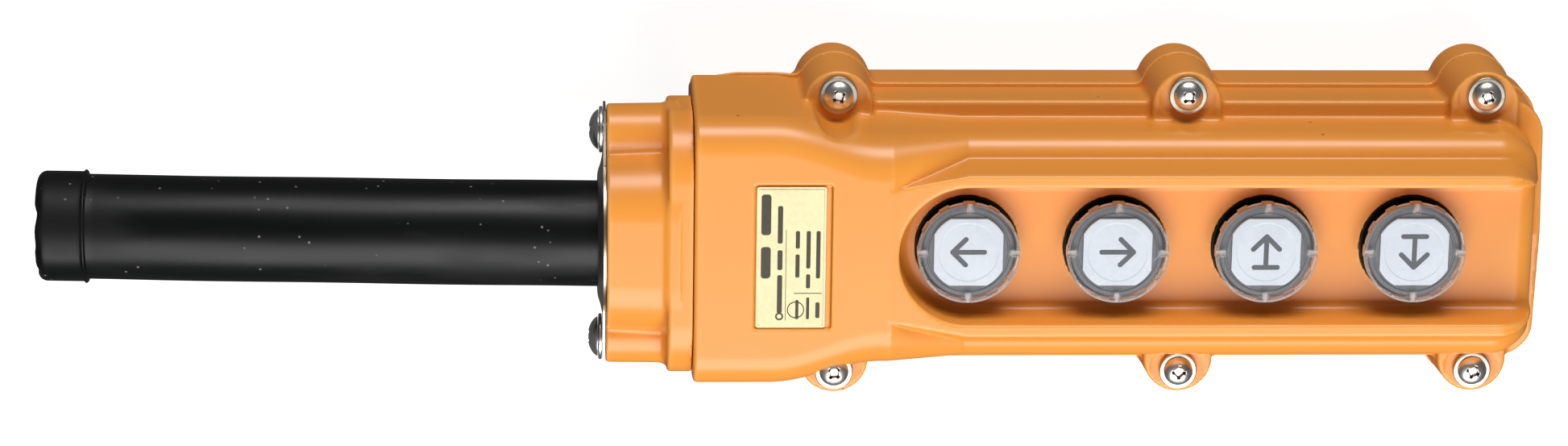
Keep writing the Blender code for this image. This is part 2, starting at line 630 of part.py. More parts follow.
def button(number, x):
    """One button: clear cap, legend, plunger and bridge, which move, and the seal and spring, which don't."""
    top, skirt = CAP_TOP, CAP_TOP - CAP_SKIRT
    ceiling = top - CAP_TOP_WALL
    inside = CAP_RADIUS - CAP_WALL
    legend_top = ceiling - GAP
    body_top = legend_top - LEGEND_THICKNESS - GAP
    axis = (x, 0.0, 0.0)

    rings = [(inside, ceiling), (inside, skirt), (CAP_RADIUS, skirt), (CAP_RADIUS, top - 0.4), (CAP_RADIUS - 0.4, top)]
    cap = stack([[(px, py, z) for px, py in circle(r, ROUND, x)] for r, z in rings])
    make(f"button_cap_{number}", *cap, "clear_plastic", axis)

    half = LEGEND_WIDTH / 2 / math.cos(math.pi / 8)
    legend = prism(circle(half, 8, x, 0.0, 0.5), legend_top - LEGEND_THICKNESS, legend_top)
    make(f"legend_plate_{number}", *legend, "white_plate", axis)

    disc = inside - GAP
    plunger = [(STEM_RADIUS - 0.6, STEM_BOTTOM), (STEM_RADIUS, STEM_BOTTOM + 0.6), (STEM_RADIUS, skirt - 1.8),
               (disc, skirt - 1.8), (disc, body_top)]
    make(f"button_plunger_{number}", *turned_solid(plunger, x, 0.0), "grey_plastic", axis)

    wall = CAP_RADIUS + SLIDE_CLEARANCE
    under = TROUGH_FLOOR - WALL + 0.2 - GAP
    seal = [(SEAL_RADIUS, SEAL_TOP), (SEAL_RADIUS, under), (SEAL_RADIUS + 2.0, under), (SEAL_RADIUS + 2.0, under - 2.4),
            (STEM_RADIUS + GAP, under - 2.4), (STEM_RADIUS + GAP, under - 1.4), (wall, under - 1.4), (wall, SEAL_TOP)]
    make(f"button_seal_{number}", *turned(seal, x, 0.0), "black_rubber", axis)

    low = (x - BRIDGE_WIDTH / 2, -BRIDGE_LENGTH / 2, BRIDGE_BOTTOM)
    high = (x + BRIDGE_WIDTH / 2, BRIDGE_LENGTH / 2, BRIDGE_BOTTOM + CONTACT_THICKNESS)
    make(f"contact_bridge_{number}", *box(low, high), "brass", axis)
    return_spring(number, x)


def return_spring(number, x):
    """The coil spring under a bridge, standing on the floor of the block's well."""
    low = BLOCK_TOP - WELL_DEPTH + GAP + SPRING_WIRE
    high = BRIDGE_BOTTOM - GAP - SPRING_WIRE
    curve = bpy.data.curves.new(f"return_spring_{number}", "CURVE")
    curve.dimensions = "3D"
    curve.bevel_depth = SPRING_WIRE * MM
    curve.bevel_resolution = 0
    curve.use_fill_caps = True
    steps = SPRING_TURNS * 9
    spline = curve.splines.new("POLY")
    spline.points.add(steps)
    for i in range(steps + 1):
        a = 2 * math.pi * SPRING_TURNS * i / steps
        z = low + (high - low) * i / steps
        spline.points[i].co = (SPRING_RADIUS * math.cos(a) * MM, SPRING_RADIUS * math.sin(a) * MM, z * MM, 1.0)
    curve.materials.append(material("plated_steel"))
    obj = bpy.data.objects.new(f"return_spring_{number}", curve)
    obj.location = (Vector((x, 0.0, 0.0)) + SHIFT) * MM
    bpy.context.scene.collection.objects.link(obj)


def contact_block(number, x):
    """A switch block for two buttons, with a well for each spring, held by one screw on a pillar."""
    floor = -REAR_DEPTH + WALL - 0.2
    low = (x - BLOCK_LENGTH / 2, -BLOCK_HALF_WIDTH, floor + GAP)
    high = (x + BLOCK_LENGTH / 2, BLOCK_HALF_WIDTH, BLOCK_TOP)
    obj = make(f"contact_block_{number}", *box(low, high), "brown_plastic", (x, 0.0, 0.0))
    for centre in (x - PITCH / 2, x + PITCH / 2):
        well_low = (centre - WELL_HALF_LENGTH, -WELL_HALF_WIDTH, BLOCK_TOP - WELL_DEPTH)
        well_high = (centre + WELL_HALF_LENGTH, WELL_HALF_WIDTH, BLOCK_TOP + 1.0)
        cut(obj, box(well_low, well_high))
    seat = floor + PILLAR_HEIGHT + GAP
    socket = PILLAR_RADIUS + GAP
    hole = SCREW_RADIUS + HOLE_CLEARANCE
    cut(obj, turned_solid([(socket, floor - 1.0), (socket, seat)], x, 0.0, SMALL_ROUND))
    cut(obj, turned_solid([(hole, seat - 1.0), (hole, BLOCK_TOP + 1.0)], x, 0.0, SMALL_ROUND))
    screw_length = BLOCK_TOP + GAP - floor - 2.5
    pan_screw(f"block_screw_{number}", SCREW_RADIUS, SCREW_HEAD_RADIUS, SCREW_HEAD_HEIGHT, screw_length,
              (x, 0.0, BLOCK_TOP + GAP), False)


def fixed_contacts(number, x):
    """The two bent brass strips that a bridge closes, each with its terminal leg outside the block."""
    inner, outer = WELL_HALF_WIDTH - 5.0, BLOCK_HALF_WIDTH + GAP + 1.3
    top, under = CONTACT_TOP, CONTACT_TOP - CONTACT_THICKNESS
    leg = outer - CONTACT_THICKNESS
    for label, side in (("upper", 1), ("lower", -1)):
        outline = [(inner, under), (leg, under), (leg, under - 8.0), (outer, under - 8.0), (outer, top), (inner, top)]
        points = [(side * y, z) for y, z in outline]
        strip = end_prism(points, x - CONTACT_WIDTH / 2, x + CONTACT_WIDTH / 2)
        make(f"fixed_contact_{number}_{label}", *strip, "brass", (x, 0.0, 0.0))


def smooth_round_pieces():
    """Shade every mesh smooth except over its sharp edges."""
    for obj in bpy.context.scene.objects:
        if obj.type == "MESH":
            obj.data.shade_smooth()
            obj.data.set_sharp_from_angle(angle=math.radians(35))


def main():
    """Build the station."""
    clear_scene()
    front_cover()
    rear_housing()
    cover_gasket()
    nameplate()
    cover_fasteners()
    gland_cap()
    gland_gasket()
    gland_plate()
    gland_fasteners()
    cable_boot()
    for number, x in enumerate(BUTTON_XS, 1):
        button(number, x)
        fixed_contacts(number, x)
    for number, x in enumerate(block_centres(), 1):
        contact_block(number, x)
    smooth_round_pieces()


main()
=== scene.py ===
"""Looks of a hoist pendant push-button station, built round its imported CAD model.

The three orange mouldings are distance fields meshed on a grid, which gives them the soft fillets of
moulded plastic. Lengths in this file are millimetres, in the case's own axes: x from the first button
towards the open end of the trough, y across and z up from the joint between cover and rear housing.
"""

from __future__ import annotations

import logging
import math
from collections.abc import Callable, Sequence
from dataclasses import dataclass, field
from enum import Enum

import bmesh
import bpy
import numpy as np
from mathutils import Euler, Matrix, Vector


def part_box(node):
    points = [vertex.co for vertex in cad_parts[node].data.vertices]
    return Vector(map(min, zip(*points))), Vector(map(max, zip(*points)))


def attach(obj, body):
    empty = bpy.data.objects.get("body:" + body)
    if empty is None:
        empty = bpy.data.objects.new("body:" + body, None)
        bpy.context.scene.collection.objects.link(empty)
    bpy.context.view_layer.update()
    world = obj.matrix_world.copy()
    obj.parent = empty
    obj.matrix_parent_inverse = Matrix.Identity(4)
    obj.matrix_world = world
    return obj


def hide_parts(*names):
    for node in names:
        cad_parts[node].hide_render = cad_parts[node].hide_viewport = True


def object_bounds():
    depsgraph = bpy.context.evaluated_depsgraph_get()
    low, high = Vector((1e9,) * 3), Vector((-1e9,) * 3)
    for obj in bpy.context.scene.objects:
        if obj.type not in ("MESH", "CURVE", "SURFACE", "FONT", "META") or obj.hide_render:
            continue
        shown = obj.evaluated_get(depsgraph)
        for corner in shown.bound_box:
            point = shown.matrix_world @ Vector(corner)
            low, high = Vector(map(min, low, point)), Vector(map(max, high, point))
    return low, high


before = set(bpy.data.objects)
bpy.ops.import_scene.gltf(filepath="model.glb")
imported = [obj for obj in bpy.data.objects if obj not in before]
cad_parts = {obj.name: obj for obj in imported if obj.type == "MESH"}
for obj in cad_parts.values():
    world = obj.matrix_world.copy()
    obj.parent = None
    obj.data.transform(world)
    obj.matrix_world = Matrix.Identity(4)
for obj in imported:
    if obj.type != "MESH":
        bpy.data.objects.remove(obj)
CAD_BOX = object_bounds()

LOG = logging.getLogger("pendant")
MM = 0.001
CASE = "case"
MOST_TRIANGLES = 185_000

Array = np.ndarray
Field = Callable[[Array, Array, Array], Array]
Point = Sequence[float]
Profile = Sequence[tuple[float, float, float]]
Colour = tuple[float, float, float, float]


def span(node: str) -> tuple[Vector, Vector]:
    """The lowest and highest corners of a CAD node, in the case's axes and millimetres."""
    low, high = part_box(node)
    return (low - ORIGIN) / MM, (high - ORIGIN) / MM


def middle_of(node: str) -> tuple[float, ...]:
    """The middle of a CAD node's box, in the case's axes and millimetres."""
    return tuple((low + high) / 2 for low, high in zip(*span(node)))


def case_origin() -> Vector:
    """Where the first button's axis meets the underside of the front cover, in metres."""
    cap_low, cap_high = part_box("button_cap_1")
    middle = (cap_low + cap_high) / 2
    return Vector((middle.x, middle.y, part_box("front_cover")[0].z))


ORIGIN = case_origin()
COVER_LOW, COVER_HIGH = span("front_cover")
REAR_LOW, REAR_HIGH = span("rear_housing")
GLAND_LOW, GLAND_HIGH = span("gland_cap")
BOOT_LOW, BOOT_HIGH = span("cable_boot")
GLAND_AXIS = (GLAND_LOW.z + GLAND_HIGH.z) / 2


# Distance fields


def round_and(a: Array, b: Array, radius: float) -> Array:
    """The intersection of two fields, with its edge rounded to a radius."""
    corner = np.hypot(np.maximum(a + radius, 0.0), np.maximum(b + radius, 0.0))
    return np.minimum(-radius, np.maximum(a, b)) + corner


def round_or(a: Array, b: Array, radius: float) -> Array:
    """The union of two fields, with a fillet of a radius between them."""
    corner = np.hypot(np.maximum(radius - a, 0.0), np.maximum(radius - b, 0.0))
    return np.maximum(radius, np.minimum(a, b)) - corner


def carve(body: Array, tool: Array, radius: float) -> Array:
    """The body less the tool, with the cut's edge rounded to a radius."""
    return round_and(body, -tool, radius)


def cut(body: Array, *faces: Array) -> Array:
    """The body less the space inside all of some faces, with sharp edges."""
    tool = faces[0]
    for face in faces[1:]:
        tool = np.maximum(tool, face)
    return np.maximum(body, -tool)


def rounded_plate(u: Array, v: Array, half_u: float, half_v: float, corner: float) -> Array:
    """A rectangle with round corners, in two dimensions."""
    du = np.abs(u) - (half_u - corner)
    dv = np.abs(v) - (half_v - corner)
    return np.hypot(np.maximum(du, 0.0), np.maximum(dv, 0.0)) + np.minimum(np.maximum(du, dv), 0.0) - corner


def capsule(u: Array, v: Array, start: Point, end: Point, radius: float) -> Array:
    """A stroke with round ends, in two dimensions."""
    ax, ay = start
    bx, by = end[0] - ax, end[1] - ay
    share = np.clip(((u - ax) * bx + (v - ay) * by) / max(bx * bx + by * by, 1e-9), 0.0, 1.0)
    return np.hypot(u - ax - share * bx, v - ay - share * by) - radius


def ease(value: Array) -> Array:
    """A smooth step from 0 to 1."""
    held = np.clip(value, 0.0, 1.0)
    return held * held * (3.0 - 2.0 * held)


def mix(first: Array | float, second: Array | float, share: Array | float) -> Array:
    """A value between two others."""
    return first + (second - first) * share


def slope(shape: Field, points: Array, reach: float = 0.04) -> Array:
    """The gradient of a field at some points, by central differences."""
    columns = []
    for axis in range(3):
        offset = np.zeros(3)
        offset[axis] = reach
        ahead, behind = (points + offset).T, (points - offset).T
        columns.append((shape(*ahead) - shape(*behind)) / (2 * reach))
    return np.stack(columns, axis=1)


def settle(shape: Field, points: Array, step: float, rounds: int = 3) -> Array:
    """Points moved on to the surface of a field, each by less than a grid step in all."""
    moved = points.copy()
    for _ in range(rounds):
        gradient = slope(shape, moved)
        size = np.maximum((gradient**2).sum(axis=1), 0.3)
        shift = np.clip(shape(*moved.T) / size, -step / 2, step / 2)
        moved -= shift[:, None] * gradient
    return np.where(np.abs(moved - points).max(axis=1)[:, None] < 1.2 * step, moved, points)


def net_of(shape: Field, low: Point, high: Point, step: float) -> tuple[Array, Array]:
    """A closed net of four-sided faces on the surface of a field.

    Args:
        shape: The distance field, in millimetres, negative inside.
        low: The lowest corner of the grid.
        high: The highest corner of the grid.
        step: The grid's spacing.

    Returns:
        The net's points and its faces, as rows of four point numbers.
    """
    axes = [np.arange(a - step, b + 2 * step, step) for a, b in zip(low, high)]
    x, y, z = np.meshgrid(*axes, indexing="ij", sparse=True)
    values = np.ascontiguousarray(np.broadcast_to(shape(x, y, z), [len(a) for a in axes]))
    inside = values < 0
    corners = [(i, j, k) for i in (0, 1) for j in (0, 1) for k in (0, 1)]
    shape_of_cells = [n - 1 for n in inside.shape]
    count = np.zeros(shape_of_cells, np.int8)
    for i, j, k in corners:
        count += inside[i : i + shape_of_cells[0], j : j + shape_of_cells[1], k : k + shape_of_cells[2]]
    cells = np.argwhere((count > 0) & (count < 8))
    number = np.full(shape_of_cells, -1, np.int64)
    number[tuple(cells.T)] = np.arange(len(cells))

    total = np.zeros((len(cells), 3))
    crossings = np.zeros(len(cells))
    for axis in range(3):
        others = [a for a in range(3) if a != axis]
        for first in (0, 1):
            for second in (0, 1):
                start = np.zeros(3, int)
                start[others[0]], start[others[1]] = first, second
                end = start.copy()
                end[axis] = 1
                near, far = values[tuple((cells + start).T)], values[tuple((cells + end).T)]
                crossed = (near < 0) != (far < 0)
                share = np.where(crossed, near / np.where(crossed, near - far, 1.0), 0.0)
                place = start + share[:, None] * (end - start)
                total += np.where(crossed[:, None], place, 0.0)
                crossings += crossed
    points = (cells + total / crossings[:, None]) * step + [a[0] for a in axes]

    faces = []
    for axis in range(3):
        others = [(axis + 1) % 3, (axis + 2) % 3]
        near = [slice(1, -1)] * 3
        far = list(near)
        near[axis], far[axis] = slice(0, -1), slice(1, None)
        here, there = inside[tuple(near)], inside[tuple(far)]
        places = np.argwhere(here != there) + 1
        places[:, axis] -= 1
        leaving = inside[tuple(places.T)]
        around = []
        for du, dv in ((-1, -1), (0, -1), (0, 0), (-1, 0)):
            cell = places.copy()
            cell[:, others[0]] += du
            cell[:, others[1]] += dv
            around.append(number[tuple(cell.T)])
        quads = np.stack(around, axis=1)
        faces.append(np.where(leaving[:, None], quads, quads[:, ::-1]))
    return settle(shape, points, step), np.concatenate(faces)


# Meshes


def mesh_of(name: str, points: Array, faces: Array) -> bpy.types.Mesh:
    """A smooth-shaded mesh in the frame's metres from points in the case's millimetres."""
    mesh = bpy.data.meshes.new(name)
    placed = np.asarray(points, float) * MM + np.array(ORIGIN)
    sides = faces.shape[1]
    mesh.vertices.add(len(placed))
    mesh.vertices.foreach_set("co", placed.astype(np.float32).ravel())
    mesh.loops.add(faces.size)
    mesh.loops.foreach_set("vertex_index", faces.astype(np.int32).ravel())
    mesh.polygons.add(len(faces))
    mesh.polygons.foreach_set("loop_start", np.arange(0, faces.size, sides, dtype=np.int32))
    mesh.update(calc_edges=True)
    mesh.shade_smooth()
    return mesh


def mesh_points(mesh: bpy.types.Mesh) -> Array:
    """The points of a mesh, in the case's millimetres."""
    flat = np.empty(len(mesh.vertices) * 3, np.float32)
    mesh.vertices.foreach_get("co", flat)
    return (flat.reshape(-1, 3) - np.array(ORIGIN)) / MM


def add_object(mesh: bpy.types.Mesh, *finishes: bpy.types.Material) -> bpy.types.Object:
    """An object at the origin that shows a mesh in some materials."""
    for finish in finishes:
        mesh.materials.append(finish)
    obj = bpy.data.objects.new(mesh.name, mesh)
    bpy.context.scene.collection.objects.link(obj)
    return obj


def evaluated_mesh(obj: bpy.types.Object, name: str) -> bpy.types.Mesh:
    """The mesh that an object's modifiers make, and the object removed."""
    graph = bpy.context.evaluated_depsgraph_get()
    mesh = bpy.data.meshes.new_from_object(obj.evaluated_get(graph))
    source = obj.data
    bpy.data.objects.remove(obj)
    bpy.data.meshes.remove(source)
    mesh.name = name
    return mesh


def thinned(mesh: bpy.types.Mesh, most: int) -> bpy.types.Mesh:
    """The mesh with at most that many triangles."""
    triangles = sum(len(face.vertices) - 2 for face in mesh.polygons)
    if triangles <= most:
        return mesh
    obj = add_object(mesh)
    modifier = obj.modifiers.new("thin", "DECIMATE")
    modifier.ratio = most / triangles
    return evaluated_mesh(obj, mesh.name)


def field_mesh(name: str, shape: Field, low: Point, high: Point, step: float, most: int) -> bpy.types.Mesh:
    """The mesh of a field, with the field's own normals and its edges marked in the attribute edge."""
    points, faces = net_of(shape, low, high, step)
    mesh = thinned(mesh_of(name, points, faces), most)
    points = mesh_points(mesh)
    normals = slope(shape, points, 0.08)
    normals /= np.maximum(np.linalg.norm(normals, axis=1), 1e-6)[:, None]
    reach = 0.7
    bulge = shape(*(points + reach * normals).T) + shape(*(points - reach * normals).T)
    for along in tangents(normals):
        bulge += shape(*(points + reach * along).T) + shape(*(points - reach * along).T)
    edge = mesh.attributes.new("edge", "FLOAT", "POINT")
    edge.data.foreach_set("value", np.clip(bulge / reach, -1.0, 1.0).astype(np.float32))
    mesh.shade_smooth()
    mesh.normals_split_custom_set_from_vertices(normals.astype(np.float32))
    return mesh


def tangents(normals: Array) -> tuple[Array, Array]:
    """Two directions along the surface at each normal."""
    aside = np.where(np.abs(normals[:, 2:]) < 0.9, [[0.0, 0.0, 1.0]], [[1.0, 0.0, 0.0]])
    first = np.cross(normals, aside)
    first /= np.maximum(np.linalg.norm(first, axis=1), 1e-6)[:, None]
    return first, np.cross(normals, first)


def rings_mesh(name: str, rings: Array, closed: bool) -> bpy.types.Mesh:
    """A mesh through rings of points: closed on itself like a tube with a bore, or capped with fans.

    Args:
        name: The mesh's name.
        rings: The rings, as an array of ring, point and coordinate.
        closed: Whether the last ring joins the first. If not, both ends are capped.

    Returns:
        The mesh, with its faces pointing out.
    """
    levels, count = rings.shape[:2]
    here = np.arange(count)
    there = (here + 1) % count
    last = levels if closed else levels - 1
    quads = []
    for level in range(last):
        low, high = level * count, (level + 1) % levels * count
        quads.append(np.stack([low + here, low + there, high + there, high + here], axis=1))
    points = rings.reshape(-1, 3)
    mesh = mesh_of(name, points, np.concatenate(quads))
    bm = bmesh.new()
    bm.from_mesh(mesh)
    if not closed:
        corners = list(bm.verts)
        for ring in (corners[:count], corners[-count:]):
            middle = bm.verts.new(sum((vert.co for vert in ring), Vector()) / count)
            for index, vert in enumerate(ring):
                bm.faces.new((vert, ring[(index + 1) % count], middle)).smooth = True
    bmesh.ops.recalc_face_normals(bm, faces=bm.faces)
    bm.to_mesh(mesh)
    bm.free()
    return mesh


def soften(profile: Profile, closed: bool, arc: int = 4) -> list[tuple[float, float]]:
    """A profile of (radius, height, fillet) with each corner drawn as an arc."""
    count = len(profile)
    points: list[tuple[float, float]] = []
    for index, (u, v, fillet) in enumerate(profile):
        if fillet <= 0 or (not closed and index in (0, count - 1)):
            points.append((u, v))
            continue
        here = Vector((u, v))
        back = (Vector(profile[index - 1][:2]) - here).normalized()
        ahead = (Vector(profile[(index + 1) % count][:2]) - here).normalized()
        start, end = here + back * fillet, here + ahead * fillet
        for i in range(arc + 1):
            t = i / arc
            bent = start * (1 - t) ** 2 + here * (2 * t * (1 - t)) + end * t**2
            points.append((bent.x, bent.y))
    return points


def turned_mesh(
    name: str, profile: Profile, closed: bool, centre: Point, sides: int = 96
) -> bpy.types.Mesh:
    """A profile of (radius, height, fillet) turned about the upright axis through a centre."""
    angles = 2 * np.pi * np.arange(sides) / sides
    across, along = np.cos(angles), np.sin(angles)
    rings = [
        np.stack([r * across + centre[0], r * along + centre[1], 0 * angles + z + centre[2]], 1)
        for r, z in soften(profile, closed)
    ]
    mesh = rings_mesh(name, np.array(rings), closed)
    mesh.set_sharp_from_angle(angle=math.radians(50))
    return mesh


# Shader graphs


def srgb(red: float, green: float, blue: float) -> Colour:
    """A display colour of 0 to 255 as the linear colour that a shader takes."""
    shares = (red / 255, green / 255, blue / 255)
    linear = [c / 12.92 if c <= 0.04045 else ((c + 0.055) / 1.055) ** 2.4 for c in shares]
    return (*linear, 1.0)


class Value:
    """A shader socket, whose arithmetic adds Math nodes."""

    def __init__(self, graph: Graph, socket: bpy.types.NodeSocket) -> None:
        self.graph = graph
        self.socket = socket

    def _math(self, operation: str, *terms: Value | float) -> Value:
        """A Math node on some terms."""
        node = self.graph.node("ShaderNodeMath", {"operation": operation}, dict(enumerate(terms)))
        return self.graph.out(node)

    def __add__(self, other: Value | float) -> Value:
        """This plus another."""
        return self._math("ADD", self, other)

    def __radd__(self, other: float) -> Value:
        """A number plus this."""
        return self._math("ADD", other, self)

    def __sub__(self, other: Value | float) -> Value:
        """This less another."""
        return self._math("SUBTRACT", self, other)

    def __rsub__(self, other: float) -> Value:
        """A number less this."""
        return self._math("SUBTRACT", other, self)

    def __mul__(self, other: Value | float) -> Value:
        """This times another."""
        return self._math("MULTIPLY", self, other)

    def __rmul__(self, other: float) -> Value:
        """A number times this."""
        return self._math("MULTIPLY", other, self)

    def above(self, limit: float, width: float) -> Value:
        """0 below a limit and 1 above it, over a width."""
        settings = {"interpolation_type": "SMOOTHSTEP"}
        values = {"Value": self, "From Min": limit - width / 2, "From Max": limit + width / 2}
        return self.graph.out(self.graph.node("ShaderNodeMapRange", settings, values))

    def below(self, limit: float, width: float) -> Value:
        """1 below a limit and 0 above it, over a width."""
        return 1.0 - self.above(limit, width)

    def held(self) -> Value:
        """This kept from 0 to 1."""
        node = self.graph.node("ShaderNodeClamp", {}, {"Value": self})
        return self.graph.out(node)


class Graph:
    """A material and the few calls that build its nodes."""

    def __init__(self, name: str) -> None:
        self.material = bpy.data.materials.new(name)
        self.material.use_nodes = True
        self.tree = self.material.node_tree
        self.tree.nodes.clear()
        self.output = self.tree.nodes.new("ShaderNodeOutputMaterial")

    def node(self, kind: str, settings: dict[str, object], inputs: dict[str | int, object]) -> bpy.types.Node:
        """A node of a kind, with its settings made first and then its sockets filled or linked."""
        made = self.tree.nodes.new(kind)
        for key, value in settings.items():
            setattr(made, key, value)
        for key, value in inputs.items():
            if isinstance(value, Value):
                self.tree.links.new(value.socket, made.inputs[key])
            else:
                made.inputs[key].default_value = value
        return made

    def out(self, node: bpy.types.Node, socket: str | int = 0) -> Value:
        """An output of a node."""
        return Value(self, node.outputs[socket])

    def place(self, stretch: Point = (1.0, 1.0, 1.0)) -> Value:
        """Object coordinates, scaled along each axis."""
        coordinates = self.out(self.node("ShaderNodeTexCoord", {}, {}), "Object")
        return self.out(self.node("ShaderNodeMapping", {}, {"Vector": coordinates, "Scale": tuple(stretch)}))

    def noise(self, place: Value, scale: float, detail: float = 3.0) -> Value:
        """Noise from 0 to 1."""
        inputs = {"Vector": place, "Scale": scale, "Detail": detail}
        return self.out(self.node("ShaderNodeTexNoise", {}, inputs), "Fac")

    def specks(self, place: Value, scale: float, radius: float) -> Value:
        """Small round specks, one in each cell of a scattered grid: 1 inside a speck."""
        inputs = {"Vector": place, "Scale": scale, "Randomness": 1.0}
        distance = self.out(self.node("ShaderNodeTexVoronoi", {}, inputs), "Distance")
        return distance.below(radius, radius)

    def attribute(self, name: str) -> Value:
        """A value that the mesh carries."""
        return self.out(self.node("ShaderNodeAttribute", {"attribute_name": name}, {}), "Fac")

    def blend(self, share: Value | float, first: object, second: object) -> Value:
        """A colour between two others."""
        made = self.node("ShaderNodeMix", {"data_type": "RGBA"}, {0: share, 6: first, 7: second})
        return self.out(made, 2)

    def bump(self, height: Value, depth: float) -> Value:
        """A normal bent by a height, with its depth in millimetres."""
        return self.out(self.node("ShaderNodeBump", {}, {"Height": height, "Distance": depth * MM}))

    def principled(self, **inputs: object) -> Value:
        """A Principled shader: each keyword is a socket's name with underscores for spaces."""
        named = {key.replace("_", " "): value for key, value in inputs.items()}
        return self.out(self.node("ShaderNodeBsdfPrincipled", {}, named))

    def finish(self, shader: Value) -> bpy.types.Material:
        """The material, showing a shader."""
        self.tree.links.new(shader.socket, self.output.inputs["Surface"])
        return self.material


@dataclass(frozen=True)
class MouldedPlastic:
    """Glossy moulded plastic with an even skin, faint flow marks, a few dark specks and a painted highlight
    that makes its convex edges paler.
    """

    name: str
    colour: Colour
    rim: Colour
    roughness: float = 0.32

    def build(self) -> bpy.types.Material:
        """The material."""
        graph = Graph(self.name)
        place = graph.place()
        flow = graph.noise(graph.place((0.35, 1.0, 1.0)), 26.0)
        grain = graph.noise(place, 420.0, 2.0)
        rare = graph.noise(place, 31.0, 0.0).above(0.56, 0.02)
        speck = graph.specks(place, 95.0, 0.035) * rare
        edge = graph.attribute("edge")
        deep = tuple(c * 0.88 for c in self.colour[:3]) + (1.0,)
        tint = graph.blend(flow, deep, self.colour)
        # painted highlight: convex edges, found by the edge attribute, blend towards the paler rim colour
        tint = graph.blend((edge * 0.55).held(), tint, self.rim)
        tint = graph.blend(speck * 0.75, tint, srgb(96, 58, 26))
        smudge = graph.noise(place, 60.0, 5.0)
        rough = self.roughness + (smudge - 0.5) * 0.1 + speck * 0.3
        skin = graph.bump(grain + flow * 3.0, 0.006)
        return graph.finish(graph.principled(Base_Color=tint, Roughness=rough, Normal=skin, IOR=1.5))


@dataclass(frozen=True)
class Rubber:
    """Black rubber with a satin skin, drawn streaks, scuffs and pale dust."""

    name: str
    colour: Colour = srgb(6, 7, 7)
    roughness: float = 0.38
    streaks: float = 0.02

    def build(self) -> bpy.types.Material:
        """The material."""
        graph = Graph(self.name)
        place = graph.place()
        long = graph.place((0.12, 1.0, 1.0))
        streak = graph.noise(long, 210.0, 4.0)
        scuff = graph.noise(graph.place((0.3, 1.0, 1.0)), 70.0, 6.0).above(0.6, 0.16)
        fine = graph.noise(place, 700.0, 3.0)
        rare = graph.noise(place, 55.0, 0.0).above(0.5, 0.05)
        dust = graph.specks(place, 260.0, 0.07) * rare
        tint = graph.blend(scuff * 0.5, self.colour, srgb(24, 24, 25))
        tint = graph.blend(dust * 0.75, tint, srgb(140, 138, 134))
        rough = self.roughness + (streak - 0.5) * 0.16 + scuff * 0.12
        skin = graph.bump(streak + fine * 0.3, self.streaks)
        skin = graph.principled(Base_Color=tint, Roughness=rough, Normal=skin, Specular_IOR_Level=0.26)
        return graph.finish(skin)


@dataclass(frozen=True)
class Metal:
    """Bright metal with a fine random grain, dull patches, and painted shade that darkens its hollows."""

    name: str
    colour: Colour
    dull: Colour
    roughness: float = 0.14
    grain: float = 0.004

    def build(self) -> bpy.types.Material:
        """The material."""
        graph = Graph(self.name)
        place = graph.place()
        patch = graph.noise(place, 240.0, 5.0)
        fine = graph.noise(place, 1500.0, 2.0)
        # painted shade: hollows, where the edge attribute is negative, darken towards the dull colour
        hollow = (graph.attribute("edge") * -1.2).held()
        tint = graph.blend(patch.above(0.62, 0.2) * 0.5, self.colour, self.dull)
        tint = graph.blend((hollow * 1.4).held(), tint, self.dull)
        rough = self.roughness + (patch - 0.5) * 0.16 + hollow * 0.2
        skin = graph.bump(fine, self.grain)
        return graph.finish(graph.principled(Base_Color=tint, Metallic=1.0, Roughness=rough, Normal=skin))


@dataclass(frozen=True)
class FlatPlastic:
    """A matt or printed surface: one colour with a little mottle and a fine texture."""

    name: str
    colour: Colour
    mottle: Colour
    roughness: float = 0.5
    texture_scale: float = 900.0
    texture_depth: float = 0.01

    def build(self) -> bpy.types.Material:
        """The material."""
        graph = Graph(self.name)
        place = graph.place()
        cloud = graph.noise(place, 120.0, 4.0)
        fine = graph.noise(place, self.texture_scale, 3.0)
        tint = graph.blend((cloud * 0.6 + fine * 0.6).above(0.6, 0.3), self.colour, self.mottle)
        rough = self.roughness + (cloud - 0.5) * 0.14
        skin = graph.bump(fine, self.texture_depth)
        return graph.finish(graph.principled(Base_Color=tint, Roughness=rough, Normal=skin))


@dataclass(frozen=True)
class ClearPlastic:
    """Clear plastic: see-through on its flat faces and paler where it is seen aslant, with painted highlights
    that whiten its edges and painted glints and a pinkish painted reflection on its rims and slots.
    """

    name: str
    haze: float = 0.02
    edges: float = 0.12
    rims: float = 0.55
    slanting: float = 0.5

    def build(self) -> bpy.types.Material:
        """The material."""
        graph = Graph(self.name)
        place = graph.place()
        cloud = graph.noise(place, 160.0, 4.0)
        rim = graph.attribute("rim")
        aslant = graph.out(graph.node("ShaderNodeLayerWeight", {}, {"Blend": 0.5}), "Facing")
        # painted highlight and glint: edges, rims and slot walls turn towards an opaque white skin
        share = cloud * self.haze + graph.attribute("edge") * self.edges + rim * self.rims
        share = (share + aslant * aslant * aslant * self.slanting).held()
        through = graph.out(graph.node("ShaderNodeBsdfTransparent", {}, {"Color": srgb(252, 253, 254)}))
        # painted reflection: the rims are tinted pinkish as if reflecting the orange case
        tint = graph.blend(rim, srgb(226, 228, 230), srgb(206, 196, 192))
        skin = graph.principled(Base_Color=tint, Roughness=0.06 + cloud * 0.05, Coat_Weight=0.5, IOR=1.5)
        mixed = graph.node("ShaderNodeMixShader", {}, {0: share, 1: through, 2: skin})
        return graph.finish(graph.out(mixed))


